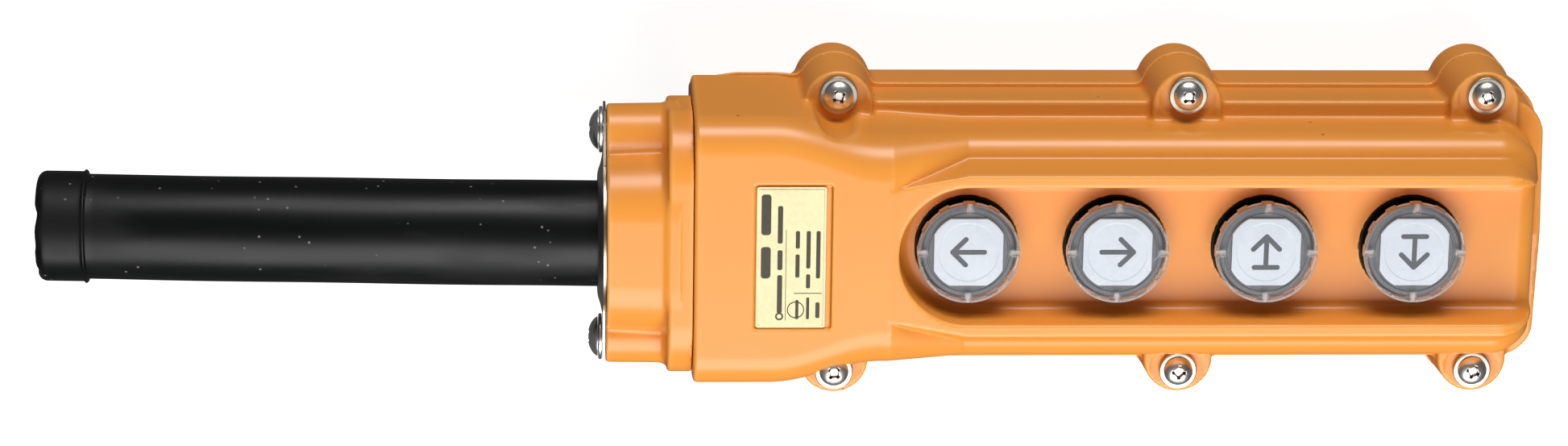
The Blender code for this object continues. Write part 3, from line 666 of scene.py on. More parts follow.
class Finish(Enum):
    """Every finish on the station."""

    # the second orange is not a colour of the plastic but the painted highlight on convex edges
    ORANGE = MouldedPlastic("orange_moulding", srgb(245, 156, 62), srgb(255, 182, 96))
    BOOT = Rubber("boot_rubber")
    SEAL = Rubber("seal_rubber", roughness=0.5, streaks=0.01)
    # each metal's third colour serves its dull patches and also the painted shade in its hollows
    NICKEL = Metal("bright_nickel", srgb(240, 237, 232), srgb(88, 78, 66), roughness=0.32)
    PLATE = Metal("zinc_plate", srgb(196, 190, 178), srgb(140, 132, 118), roughness=0.34, grain=0.01)
    BRASS = Metal("contact_brass", srgb(214, 176, 96), srgb(150, 112, 60), roughness=0.25)
    CLEAR = ClearPlastic("clear_cap")
    GREY = FlatPlastic("plunger_grey", srgb(86, 87, 89), srgb(98, 98, 100), roughness=0.42)
    WHITE = FlatPlastic("legend_white", srgb(226, 229, 234), srgb(218, 222, 229), roughness=0.42)
    INK = FlatPlastic("legend_ink", srgb(58, 62, 64), srgb(68, 71, 73), roughness=0.5)
    LABEL = FlatPlastic("label_cream", srgb(237, 227, 178), srgb(229, 218, 166), roughness=0.38)
    LABEL_INK = FlatPlastic("label_ink", srgb(48, 42, 22), srgb(60, 52, 30), roughness=0.5)
    PHENOLIC = FlatPlastic("phenolic_brown", srgb(84, 52, 36), srgb(66, 40, 28), roughness=0.45)

    def material(self) -> bpy.types.Material:
        """The finish's material, built once."""
        return bpy.data.materials.get(self.value.name) or self.value.build()


# Geometry Nodes


def scatter_tree(name: str) -> bpy.types.NodeTree:
    """A tree that stands a piece on each point, turned by the point's own angle about its own axis."""
    tree = bpy.data.node_groups.new(name, "GeometryNodeTree")
    tree.interface.new_socket("Geometry", in_out="OUTPUT", socket_type="NodeSocketGeometry")
    for label, kind in (
        ("Geometry", "NodeSocketGeometry"),
        ("Piece", "NodeSocketObject"),
        ("Lay", "NodeSocketVector"),
        ("Turn attribute", "NodeSocketString"),
        ("Finish", "NodeSocketMaterial"),
    ):
        tree.interface.new_socket(label, in_out="INPUT", socket_type=kind)
    add = tree.nodes.new
    given, result = add("NodeGroupInput"), add("NodeGroupOutput")
    piece, angle = add("GeometryNodeObjectInfo"), add("GeometryNodeInputNamedAttribute")
    angle.data_type = "FLOAT"
    spin, lay = add("FunctionNodeAxisAngleToRotation"), add("FunctionNodeEulerToRotation")
    both = add("FunctionNodeRotateRotation")
    both.rotation_space = "LOCAL"
    copies, real, dressed = (
        add("GeometryNodeInstanceOnPoints"),
        add("GeometryNodeRealizeInstances"),
        add("GeometryNodeSetMaterial"),
    )
    link = tree.links.new
    link(given.outputs["Piece"], piece.inputs["Object"])
    link(given.outputs["Turn attribute"], angle.inputs["Name"])
    link(angle.outputs["Attribute"], spin.inputs["Angle"])
    link(given.outputs["Lay"], lay.inputs[0])
    link(lay.outputs[0], both.inputs["Rotation"])
    link(spin.outputs[0], both.inputs["Rotate By"])
    link(given.outputs["Geometry"], copies.inputs["Points"])
    link(piece.outputs["Geometry"], copies.inputs["Instance"])
    link(both.outputs[0], copies.inputs["Rotation"])
    link(copies.outputs[0], real.inputs[0])
    link(real.outputs[0], dressed.inputs["Geometry"])
    link(given.outputs["Finish"], dressed.inputs["Material"])
    link(dressed.outputs[0], result.inputs[0])
    return tree


def scattered(
    name: str,
    piece: bpy.types.Mesh,
    places: Sequence[Point],
    turns: Sequence[float],
    lay: Euler,
    finish: Finish,
) -> bpy.types.Object:
    """Copies of a piece at some places of the case, as one plain mesh.

    Args:
        name: The name of the object that is made.
        piece: The mesh to copy, about its own origin, in metres.
        places: Where each copy stands, in the case's millimetres.
        turns: Each copy's angle about its own upright axis, in radians.
        lay: How the upright axis lies.
        finish: The finish of every copy.

    Returns:
        The object, at the origin.
    """
    pattern = add_object(piece)
    points = bpy.data.meshes.new(name + "_points")
    points.from_pydata([tuple(Vector(p) * MM + ORIGIN) for p in places], [], [])
    turn = points.attributes.new("turn", "FLOAT", "POINT")
    turn.data.foreach_set("value", np.array(turns, np.float32))
    host = add_object(points)
    tree = bpy.data.node_groups.get("stand_copies") or scatter_tree("stand_copies")
    modifier = host.modifiers.new("copies", "NODES")
    modifier.node_group = tree
    values = {"Piece": pattern, "Lay": tuple(lay), "Turn attribute": "turn", "Finish": finish.material()}
    for item in tree.interface.items_tree:
        if item.item_type == "SOCKET" and item.in_out == "INPUT" and item.name in values:
            modifier[item.identifier] = values[item.name]
    mesh = evaluated_mesh(host, name)
    bpy.data.objects.remove(pattern)
    mesh.materials.clear()
    return add_object(mesh, finish.material())


def own_axes(mesh: bpy.types.Mesh) -> bpy.types.Mesh:
    """The mesh moved so that the case's origin is its own, as a piece to copy has to be."""
    mesh.transform(Matrix.Translation(-ORIGIN))
    return mesh


def show(obj: bpy.types.Object, body: str, slot: str, *nodes: str) -> bpy.types.Object:
    """Put a finished piece on its body, in place of some CAD nodes."""
    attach(obj, body)
    if nodes:
        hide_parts(*nodes)
    LOG.info("%s rides on %s for %d nodes, %d faces", obj.name, body, len(nodes), len(obj.data.polygons))
    return obj


def dress(mesh: bpy.types.Mesh, finish: Finish, body: str, slot: str, *nodes: str) -> bpy.types.Object:
    """Show a mesh in a finish, on its body, in place of some CAD nodes."""
    return show(add_object(mesh, finish.material()), body, slot, *nodes)


# The case


@dataclass
class Layout:
    """Places and sizes that the mouldings share."""

    bosses: tuple[float, ...] = tuple(sorted({round(middle_of(f"cover_screw_{i}")[0], 2) for i in (1, 2, 3)}))
    buttons: tuple[float, ...] = tuple(round(middle_of(f"button_cap_{i}")[0], 2) for i in (1, 2, 3, 4))
    screw_y: float = abs(middle_of("cover_screw_1")[1])
    gland_screw_y: float = middle_of("gland_screw_upper")[1]
    boss_top: float = span("cover_washer_1")[0].z - 0.3
    boss_root: float = 18.0
    gland_screw_hole: float = 2.75


LAYOUT = Layout()


@dataclass
class FrontCover:
    """The cover: a head that narrows to a waist, then a grip with shoulders, rails and the button trough.

    Each shoulder is the place of its rounding's centre across the case, and its radius.
    """

    front: float = COVER_HIGH.z
    left: float = COVER_LOW.x
    face_edge: float = 1.1
    flange_end: float = COVER_HIGH.x
    flange_half: float = 31.5
    flange_top: float = 13.2
    flange_rise: float = 0.12
    flange_corner: float = 8.0
    body_end: float = 134.9
    end_corner: float = 10.0
    head_shoulder: tuple[float, float] = (24.8, 7.45)
    waist_shoulder: tuple[float, float] = (18.5, 9.1)
    grip_shoulder: tuple[float, float] = (21.13, 6.07)
    grip_shoulder_height: float = 24.9
    head_draft: float = 0.073
    grip_draft: float = 0.02
    narrowing: tuple[float, float] = (-46.0, -20.0)
    wedge: tuple[float, float] = (-18.3, -0.3)
    rail_half: float = 19.5
    rail_lean: float = 0.4
    rail_edge: float = 0.45
    rail_drop: float = 2.2
    rail_ramp: float = 2.5
    trough_half: float = 16.6
    trough_draft: float = 0.085
    trough_fillet: float = 2.2
    run_out: float = 4.6
    floor: float = 27.5
    boss_radius: float = 8.15
    boss_centre: float = 31.1
    boss_draft: float = 0.035
    pocket: float = 6.6
    screw_hole: float = 2.4
    button_hole: float = 12.15
    cable_hole: float = 14.0
    stud_radius: float = 4.6
    stud_length: float = 14.0
    stud_bore_depth: float = 12.4
    head_room: tuple[float, float] = (-22.0, 24.8)
    grip_room: tuple[float, float] = (-25.0, 23.2)
    wall: float = 3.2
    step: float = 0.72

    def body(self, x: Array, y: Array, z: Array) -> Array:
        """Head, waist and grip, without the trough."""
        start, end = self.narrowing
        to_waist = ease((x - start) / (end - start))
        first, last = self.wedge
        to_grip = np.clip((x - first) / (last - first), 0.0, 1.0)
        stages = zip(self.head_shoulder, self.waist_shoulder, self.grip_shoulder)
        centre, radius = (mix(mix(head, waist, to_waist), grip, to_grip) for head, waist, grip in stages)
        grip_top = self.grip_shoulder_height + self.grip_shoulder[1]
        top = mix(self.front, grip_top, to_grip)
        draft = mix(self.head_draft, self.grip_draft, to_grip)
        side = y - (centre + radius) + draft * (z - (top - radius))
        block = round_and(side, z - top, radius)
        edge = mix(self.trough_half - 0.5, self.rail_half, to_grip)
        lean = self.rail_lean
        rail_side = (y - edge - lean * (self.front - 0.5 - z)) / math.hypot(1.0, lean)
        before = np.clip((first - 0.3 - x) / self.rail_ramp, 0.0, 1.0)
        rail_top = self.front - 0.2 - self.rail_drop * before
        rail = np.maximum(round_and(rail_side, z - rail_top, self.rail_edge), side + 1.0)
        both = round_or(block, rail, 0.5)
        both = round_and(both, x - self.body_end, self.end_corner)
        return round_and(both, self.left - x, self.face_edge)

    def trough(self, x: Array, y: Array, z: Array) -> Array:
        """The trough that the buttons stand in: round at the head and open at the far end."""
        fall = np.clip((x - (self.body_end - self.run_out)) / self.run_out, 0.0, 1.0)
        floor = self.floor - self.run_out * (1.0 - np.sqrt(1.0 - 0.96 * fall**2))
        side = np.hypot(np.minimum(x, 0.0), y) - self.trough_half + self.trough_draft * (self.front - z)
        return round_and(side, floor - z, self.trough_fillet)

    def flange(self, x: Array, y: Array, z: Array) -> Array:
        """The flange round the grip, down to the joint."""
        start = self.narrowing[0] + 4.0
        middle = (start + self.flange_end) / 2
        plan = rounded_plate(x - middle, y, self.flange_end - middle, self.flange_half, self.flange_corner)
        return round_and(plan, z - self.flange_top - self.flange_rise * (self.flange_half - y), 0.8)

    def boss(self, x: Array, y: Array, z: Array, middle: float) -> Array:
        """A screw boss."""
        radius = self.boss_radius + self.boss_draft * (LAYOUT.boss_top - z)
        plan = np.hypot(x - middle, np.maximum(y - self.boss_centre, 0.0)) - radius
        return round_and(np.maximum(plan, LAYOUT.boss_root - y), z - LAYOUT.boss_top, 0.8)

    def cavity(self, x: Array, y: Array, z: Array) -> Array:
        """The hollow inside: one room under the head and one under the grip."""

        def room(start: float, end: float, half: float, top: float, fillet: float) -> Array:
            """A room between two places along the case."""
            plan = rounded_plate(x - (start + end) / 2, y, (end - start) / 2, half, 3.0)
            return round_and(plan, z - top, fillet)

        end, half = self.head_room
        head = room(self.left + self.wall, end, half, self.front - 5.0, 3.0)
        start, half = self.grip_room
        grip = room(start, self.body_end - self.wall - 1.0, half, self.floor - self.wall + 0.2, 2.0)
        return np.minimum(head, grip)

    def label_recess(self, x: Array, y: Array, z: Array) -> Array:
        """The shallow recess round the label."""
        low, high = span("nameplate")
        middle = (low.x + high.x) / 2 + 0.55
        plan = rounded_plate(x - middle, y, (high.x - low.x) / 2 + 0.85, high.y + 0.4, 0.7)
        return round_and(plan, self.front - 0.75 - z, 0.15)

    def gland_end(self, shape: Array, x: Array, y: Array, z: Array) -> Array:
        """The shape with the cable's hole and the studs that take the gland screws."""
        inwards = x - self.left
        shape = cut(shape, np.hypot(y, z - GLAND_AXIS) - self.cable_hole, inwards - 6.0)
        away = np.hypot(y - LAYOUT.gland_screw_y, z - GLAND_AXIS)
        stud = round_and(away - self.stud_radius, inwards - self.stud_length, 0.4)
        shape = np.minimum(shape, np.maximum(stud, 1.0 - inwards))
        return cut(shape, away - LAYOUT.gland_screw_hole, inwards - self.stud_bore_depth)

    def distance(self, x: Array, y: Array, z: Array) -> Array:
        """The whole cover."""
        y = np.abs(y)
        shape = carve(self.body(x, y, z), self.trough(x, y, z), 0.6)
        shape = round_or(shape, self.flange(x, y, z), 0.9)
        for middle in LAYOUT.bosses:
            shape = round_or(shape, self.boss(x, y, z, middle), 1.3)
        for middle in LAYOUT.bosses:
            away = np.hypot(x - middle, y - LAYOUT.screw_y)
            well = round_and(away - self.pocket, LAYOUT.boss_top - z, 0.5)
            shape = carve(shape, well, 0.7)
            shape = np.maximum(shape, self.screw_hole - away)
        shape = carve(shape, self.label_recess(x, y, z), 0.25)
        shape = cut(shape, self.cavity(x, y, z))
        nearest = np.minimum.reduce([np.hypot(x - middle, y) for middle in LAYOUT.buttons])
        shape = cut(shape, nearest - self.button_hole, np.abs(z - self.floor + 4.0) - 5.0)
        shape = self.gland_end(shape, x, y, z)
        return round_and(shape, -0.2 - z, 0.2)

    def build(self) -> bpy.types.Object:
        """Mesh and dress the cover."""
        mesh = field_mesh(
            "front_cover_shell", self.distance, COVER_LOW, COVER_HIGH, self.step, MOST_TRIANGLES
        )
        return dress(mesh, Finish.ORANGE, CASE, "orange_plastic", "front_cover")


@dataclass
class RearHousing:
    """The back shell: a tray a little wider than the cover, with round bottom edges and screw bosses."""

    top: float = REAR_HIGH.z
    bottom: float = REAR_LOW.z
    left: float = COVER_LOW.x
    right: float = REAR_HIGH.x
    head_half: float = 34.2
    bulge: float = 1.0
    draft: float = 0.3
    narrowing: tuple[float, float] = (-46.0, -20.0)
    flange_half: float = 32.6
    corner: float = 9.0
    head_corner: float = 2.0
    bottom_fillet: float = 10.0
    boss_radius: float = 9.1
    boss_centre: float = 31.0
    boss_depth: float = 12.0
    groove_inset: float = 2.9
    groove_half: float = 1.0
    groove_depth: float = 1.6
    pillar_radius: float = 5.0
    pillar_height: float = 9.8
    pillar_bore: float = 2.25
    screw_hole: tuple[float, float] = (2.3, 10.0)
    wall: float = 3.2
    step: float = 0.8

    def plan(self, x: Array, y: Array, z: Array) -> Array:
        """The outline at a height: over the head, the sides lean in towards the back."""
        swell = self.bulge * ease((x - self.left - 3.0) / 9.0)
        start, end = self.narrowing
        narrow = ease((x - start) / (end - start))
        head = self.head_half + swell + self.draft * np.minimum(z, 0.0)
        side = y - mix(head, self.flange_half, narrow)
        middle = (self.left + self.right) / 2
        ends = np.maximum(x - self.right, self.left - x)
        corner = np.where(x > middle, self.corner, self.head_corner)
        inner = np.minimum(-corner, np.maximum(side, ends))
        return inner + np.hypot(np.maximum(side + corner, 0.0), np.maximum(ends + corner, 0.0))

    def boss(self, x: Array, y: Array, z: Array, middle: float) -> Array:
        """A screw boss, down from the joint."""
        outline = np.hypot(x - middle, np.maximum(y - self.boss_centre, 0.0)) - self.boss_radius
        return np.maximum(round_and(outline, -self.boss_depth - z, 2.5), LAYOUT.boss_root - y)

    def distance(self, x: Array, y: Array, z: Array) -> Array:
        """The whole housing."""
        y = np.abs(y)
        plan = self.plan(x, y, z)
        inside = self.bottom + self.wall
        shape = round_and(plan, self.bottom - z, self.bottom_fillet)
        for middle in LAYOUT.bosses:
            shape = round_or(shape, self.boss(x, y, z, middle), 1.5)
        hollow = round_and(plan + 1.0 + self.wall, inside - 0.2 - z, self.bottom_fillet - self.wall)
        shape = cut(shape, hollow)
        groove = np.abs(plan + self.groove_inset) - self.groove_half
        shape = cut(shape, groove, self.top - self.groove_depth - z)
        for number in (1, 2):
            away = np.hypot(x - middle_of(f"contact_block_{number}")[0], y)
            pillar = np.maximum(away - self.pillar_radius, z - (inside + self.pillar_height))
            shape = round_or(shape, np.maximum(pillar, self.bottom + 1.0 - z), 0.3)
            shape = cut(shape, away - self.pillar_bore, inside + 1.3 - z)
        radius, depth = self.screw_hole
        for middle in LAYOUT.bosses:
            shape = cut(shape, np.hypot(x - middle, y - LAYOUT.screw_y) - radius, -depth - z)
        return round_and(shape, z - self.top, 0.3)

    def build(self) -> bpy.types.Object:
        """Mesh and dress the housing."""
        mesh = field_mesh(
            "rear_housing_shell", self.distance, REAR_LOW, REAR_HIGH, self.step, MOST_TRIANGLES
        )
        return dress(mesh, Finish.ORANGE, CASE, "orange_plastic", "rear_housing")


@dataclass
class Gland:
    """The gland cap with its plate, screws and washers."""

    joint: float = GLAND_HIGH.x
    face: float = GLAND_LOW.x
    flange: float = 5.7
    flange_half: tuple[float, float] = (31.7, 20.4)
    flange_corner: float = 15.0
    block_half: tuple[float, float] = (20.9, 19.1)
    block_corner: float = 13.5
    block_draft: float = 0.045
    lobe_y: float = 24.0
    lobe_radius: float = 7.35
    lobe_draft: float = 0.0135
    bore: float = 12.8
    counterbore: tuple[float, float] = (15.3, 3.2)
    step: float = 0.5
    plate_reach: float = 18.6
    plate_thickness: float = 0.6
    plate_dish: float = 1.25
    strap_half: float = 5.6

    def distance(self, x: Array, y: Array, z: Array) -> Array:
        """The cap: a flange and a lobed block with a little draft."""
        y, z = np.abs(y), z - GLAND_AXIS
        inwards = x - self.face
        shoulder = self.joint - self.flange
        outline = rounded_plate(y, z, *self.flange_half, self.flange_corner)
        flange = round_and(round_and(outline, shoulder - x, 1.0), x - self.joint - 0.1, 0.25)
        block = rounded_plate(y, z, *self.block_half, self.block_corner) - self.block_draft * inwards
        lobe = np.hypot(y - self.lobe_y, z) - self.lobe_radius - self.lobe_draft * inwards
        stem = round_and(round_or(block, lobe, 1.6), -inwards, 0.7)
        stem = np.maximum(np.maximum(stem, outline + 0.05), x - shoulder - 2.0)
        away = np.hypot(y, z)
        shape = cut(round_or(flange, stem, 1.7), away - self.bore)
        radius, depth = self.counterbore
        shape = cut(shape, away - radius, inwards - depth)
        return cut(shape, np.hypot(y - LAYOUT.gland_screw_y, z) - LAYOUT.gland_screw_hole)

    def cap(self) -> bpy.types.Object:
        """Mesh and dress the cap."""
        mesh = field_mesh("gland_cap_shell", self.distance, GLAND_LOW, GLAND_HIGH, self.step, 120_000)
        return dress(mesh, Finish.ORANGE, CASE, "orange_plastic", "gland_cap")

    def plate(self) -> bpy.types.Object:
        """The steel plate: a strap that widens round the boot and is dished outwards there."""
        _, high = span("gland_plate")
        sides, rings = 120, 16
        angles = 2 * np.pi * np.arange(sides) / sides
        across, up = np.abs(np.cos(angles)), np.abs(np.sin(angles))
        strap = np.minimum(high.y / np.maximum(across, 1e-6), self.strap_half / np.maximum(up, 1e-6))
        width = np.maximum(np.full(sides, self.plate_reach), strap) - self.bore
        reaches = [self.bore + width * share for share in np.linspace(0.0, 1.0, rings)]
        back = [(reach, self.plate_dish * (1.0 - ease((reach - self.bore - 1.2) / 4.6))) for reach in reaches]
        front = [(reach, rise + self.plate_thickness) for reach, rise in back]
        loops = [
            np.stack([high.x - rise, reach * np.cos(angles), GLAND_AXIS + reach * np.sin(angles)], 1)
            for reach, rise in front + back[::-1]
        ]
        mesh = rings_mesh("gland_clamp_plate", np.array(loops), True)
        mesh.set_sharp_from_angle(angle=math.radians(40))
        return dress(mesh, Finish.PLATE, CASE, "plated_steel", "gland_plate")

    def build(self) -> None:
        """Build the cap, the plate and the fasteners."""
        self.cap()
        self.plate()
        screw = PanScrew(shank=2.45, head=4.75, height=3.5, length=32.0, recess=1.05)
        seat = span("gland_screw_upper")[0].x + screw.height
        under = span("gland_washer_upper")[1].x
        lying = Euler((0.0, -math.pi / 2, 0.0))
        sides = {"upper": LAYOUT.gland_screw_y, "lower": -LAYOUT.gland_screw_y}
        places = {name: (seat, side, GLAND_AXIS) for name, side in sides.items()}
        fasten("gland_screw", screw.mesh("gland_screw_form"), places, [0.35, 1.1], lying, Finish.NICKEL)
        places = {name: (under, side, GLAND_AXIS) for name, side in sides.items()}
        ring = washer_mesh("gland_washer_form", 2.7, 5.45, 0.8)
        fasten("gland_washer", ring, places, [0.0, 0.0], lying, Finish.NICKEL)


@dataclass
class PanScrew:
    """A pan-head screw with a cross recess, one notch to the rim and a small maker's dimple."""

    shank: float
    head: float
    height: float
    length: float
    recess: float
    thread: float = 0.7

    def distance(self, x: Array, y: Array, z: Array) -> Array:
        """The head with its recess."""
        away = np.hypot(x, y)
        dome = np.sqrt(away**2 + (1.55 * (z + 0.25 * self.height)) ** 2)
        dome -= math.hypot(self.head, 0.4 * self.height)
        dome = round_and(dome, z - self.height * (1.0 - 0.09 * (away / self.head) ** 2), 0.5)
        shape = round_and(dome, -z, 0.15)
        along, across = np.maximum(np.abs(x), np.abs(y)), np.minimum(np.abs(x), np.abs(y))
        depth = self.height * 0.78
        wing_end = along - 2.35 * self.recess + 0.3 * (self.height - z)
        wing = round_and(across - 0.46 * self.recess, wing_end, 0.12)
        cone = away - 1.25 * self.recess
        cross = round_and(np.minimum(wing, cone), self.height - depth - z, 0.2)
        shape = carve(shape, cross, 0.12)
        notch = np.maximum(np.abs(x) - 0.3 * self.recess, np.maximum(-y, self.height * 0.62 - z))
        shape = carve(shape, notch, 0.1)
        aside = 0.42 * self.head
        dimple = np.sqrt((x + aside) ** 2 + (y + aside) ** 2 + (z - self.height) ** 2) - 0.42
        return carve(shape, dimple, 0.06)

    def mesh(self, name: str) -> bpy.types.Mesh:
        """The head and the threaded shank as one mesh, about its own seat."""
        size = self.head + 0.3
        low, high = (-size, -size, 0.0), (size, size, self.height)
        head = field_mesh(name, self.distance, low, high, self.head / 34, 16_000)
        rings = []
        turns = int(self.length / self.thread)
        angles = 2 * np.pi * np.arange(24) / 24
        heights = [0.05] + [-self.thread * (i + 0.5) / 2 for i in range(2 * turns)]
        for index, height in enumerate(heights):
            radius = self.shank * (1.0 if index % 2 or index < 6 else 0.9)
            rings.append(np.stack([radius * np.cos(angles), radius * np.sin(angles), 0 * angles + height], 1))
        shank = rings_mesh(name + "_shank", np.array(rings), False)
        joined = bmesh.new()
        joined.from_mesh(head)
        joined.from_mesh(shank)
        joined.to_mesh(head)
        joined.free()
        bpy.data.meshes.remove(shank)
        return own_axes(head)


def washer_mesh(name: str, bore: float, rim: float, thick: float) -> bpy.types.Mesh:
    """A washer with rolled edges, about its own seat."""
    profile = [(bore, 0.0, 0.1), (rim, 0.0, 0.2), (rim, thick, 0.3), (bore, thick, 0.2)]
    return own_axes(turned_mesh(name, profile, True, (0.0, 0.0, 0.0), 64))


def fasten(
    kind: str,
    form: bpy.types.Mesh,
    places: dict[str, Point],
    turns: Sequence[float],
    lay: Euler,
    finish: Finish,
) -> bpy.types.Object:
    """Stand a screw or a washer at each named place, and show them all as one piece."""
    copies = scattered(f"{kind}s", form, list(places.values()), turns, lay, finish)
    return show(copies, CASE, "plated_steel", *[f"{kind}_{name}" for name in places])


@dataclass
class CoverFasteners:
    """The six cover screws and their washers."""

    head_height: float = 2.6
    turns: tuple[float, ...] = (0.55, 2.35, 2.7, 0.85, 3.1, 1.2)

    def build(self) -> None:
        """Stand a screw and a washer on each boss."""
        low, high = span("cover_screw_1")
        seat = high.z - self.head_height
        under = span("cover_washer_1")[0].z
        middles = {str(n): middle_of(f"cover_screw_{n}") for n in range(1, 7)}
        upright = Euler((0.0, 0.0, 0.0))
        screw = PanScrew(shank=2.0, head=3.5, height=self.head_height, length=seat - low.z, recess=0.86)
        places = {name: (x, y, seat) for name, (x, y, _) in middles.items()}
        fasten("cover_screw", screw.mesh("cover_screw_form"), places, self.turns, upright, Finish.NICKEL)
        places = {name: (x, y, under) for name, (x, y, _) in middles.items()}
        ring = washer_mesh("cover_washer_form", 2.25, 4.5, 0.8)
        fasten("cover_washer", ring, places, [0.0] * len(places), upright, Finish.PLATE)


@dataclass
class Boot:
    """The rubber sleeve: root flange, long sagging tube, flash lip and cuff with a trimmed, lumpy end."""

    radius: float = 12.5
    bore: float = 7.0
    flange: float = 15.0
    cuff: float = 13.0
    cuff_length: float = 11.3
    sides: int = 112
    face: float = GLAND_LOW.x
    end: float = BOOT_LOW.x
    slope: float = 0.035
    sag: float = 0.00013
    tip: float = 2.2

    def axis(self, x: float) -> float:
        """Height of the boot's axis at a place along it."""
        out = max(self.face - x, 0.0)
        return GLAND_AXIS - self.slope * out - self.sag * out * out

    def profile(self) -> list[tuple[float, float]]:
        """Places along the boot and their radii: the outside from root to cuff, then the bore back."""
        root = self.face + 12.0
        cuff = self.end + self.cuff_length
        outside = [(root, self.radius - 0.3), (root - 0.3, self.radius), (self.face + 3.0, self.radius)]
        outside += [(self.face + x, self.flange) for x in (2.9, 0.2)] + [(self.face + 0.1, self.radius)]
        run = self.face - 1.0 - (cuff + 0.9)
        outside += [(self.face - 1.0 - run * i / 70, self.radius - 0.12 * (i / 70)) for i in range(71)]
        outside += [(cuff + 0.55, self.radius)]
        lip = ((0.4, 0.15), (0.1, 0.42), (-0.2, 0.36), (-0.4, 0.05))
        outside += [(cuff + x, self.cuff + y) for x, y in lip]
        outside += [(cuff - 0.8 - 7.6 * i / 8, self.cuff) for i in range(9)]
        for i in range(9):
            back, down = 1 - math.sin(math.pi / 2 * i / 8), 1 - math.cos(math.pi / 2 * i / 8)
            outside.append((self.end + self.tip * back, self.cuff - self.tip * down))
        outside += [(self.end, self.cuff - self.tip - 1.2), (self.end, self.bore + 1.0)]
        inside = [(self.end + 0.4, self.bore + 0.2), (self.end + 1.0, self.bore)]
        inside += [(self.end + 1.0 + (root - self.end - 1.5) * i / 24, self.bore) for i in range(1, 25)]
        return outside + inside + [(root, self.bore + 0.5)]

    def build(self) -> bpy.types.Object:
        """Mesh and dress the boot."""
        angles = 2 * np.pi * np.arange(self.sides) / self.sides
        random = np.random.default_rng(7)
        lobes = [(random.uniform(0, 2 * np.pi), n, random.uniform(0.4, 1.0)) for n in (2, 3, 5, 8)]
        lump = sum(size * np.sin(n * angles + start) for start, n, size in lobes) / 2.6
        rings = []
        for x, radius in self.profile():
            near_end = max(0.0, 1.0 - (x - self.end) / 2.0)
            outer = 1.0 if radius > self.bore + 0.6 else 0.0
            wavy = 0.05 * np.sin(3 * angles + x * 0.11) * outer
            reach = radius + wavy * min(1.0, max(0.0, (self.face - x) / 20.0))
            along = x + near_end * outer * np.maximum(lump, 0.0) * 0.9
            height = self.axis(x) + reach * np.sin(angles)
            rings.append(np.stack([along + 0 * angles, reach * np.cos(angles), height], 1))
        mesh = rings_mesh("cable_boot_sleeve", np.array(rings), True)
        mesh.set_sharp_from_angle(angle=math.radians(60))
        return dress(mesh, Finish.BOOT, CASE, "black_rubber", "cable_boot")


class Mark(Enum):
    """The sign on a legend plate: an arrow, as strokes of a unit square that point along +x."""

    LIFT = (180.0, False)
    LOWER = (0.0, False)
    TRAVEL_ONE_WAY = (90.0, True)
    TRAVEL_BACK = (-90.0, True)

    def strokes(self) -> list[tuple[Point, Point]]:
        """The strokes, turned the way the arrow points."""
        angle, barred = self.value
        lines = [((-0.85, 0.0), (0.85, 0.0)), ((0.15, 0.7), (0.85, 0.0)), ((0.15, -0.7), (0.85, 0.0))]
        if barred:
            lines.append(((-0.85, -0.62), (-0.85, 0.62)))
        turn = Matrix.Rotation(math.radians(angle), 2)
        return [(tuple(turn @ Vector(a)), tuple(turn @ Vector(b))) for a, b in lines]


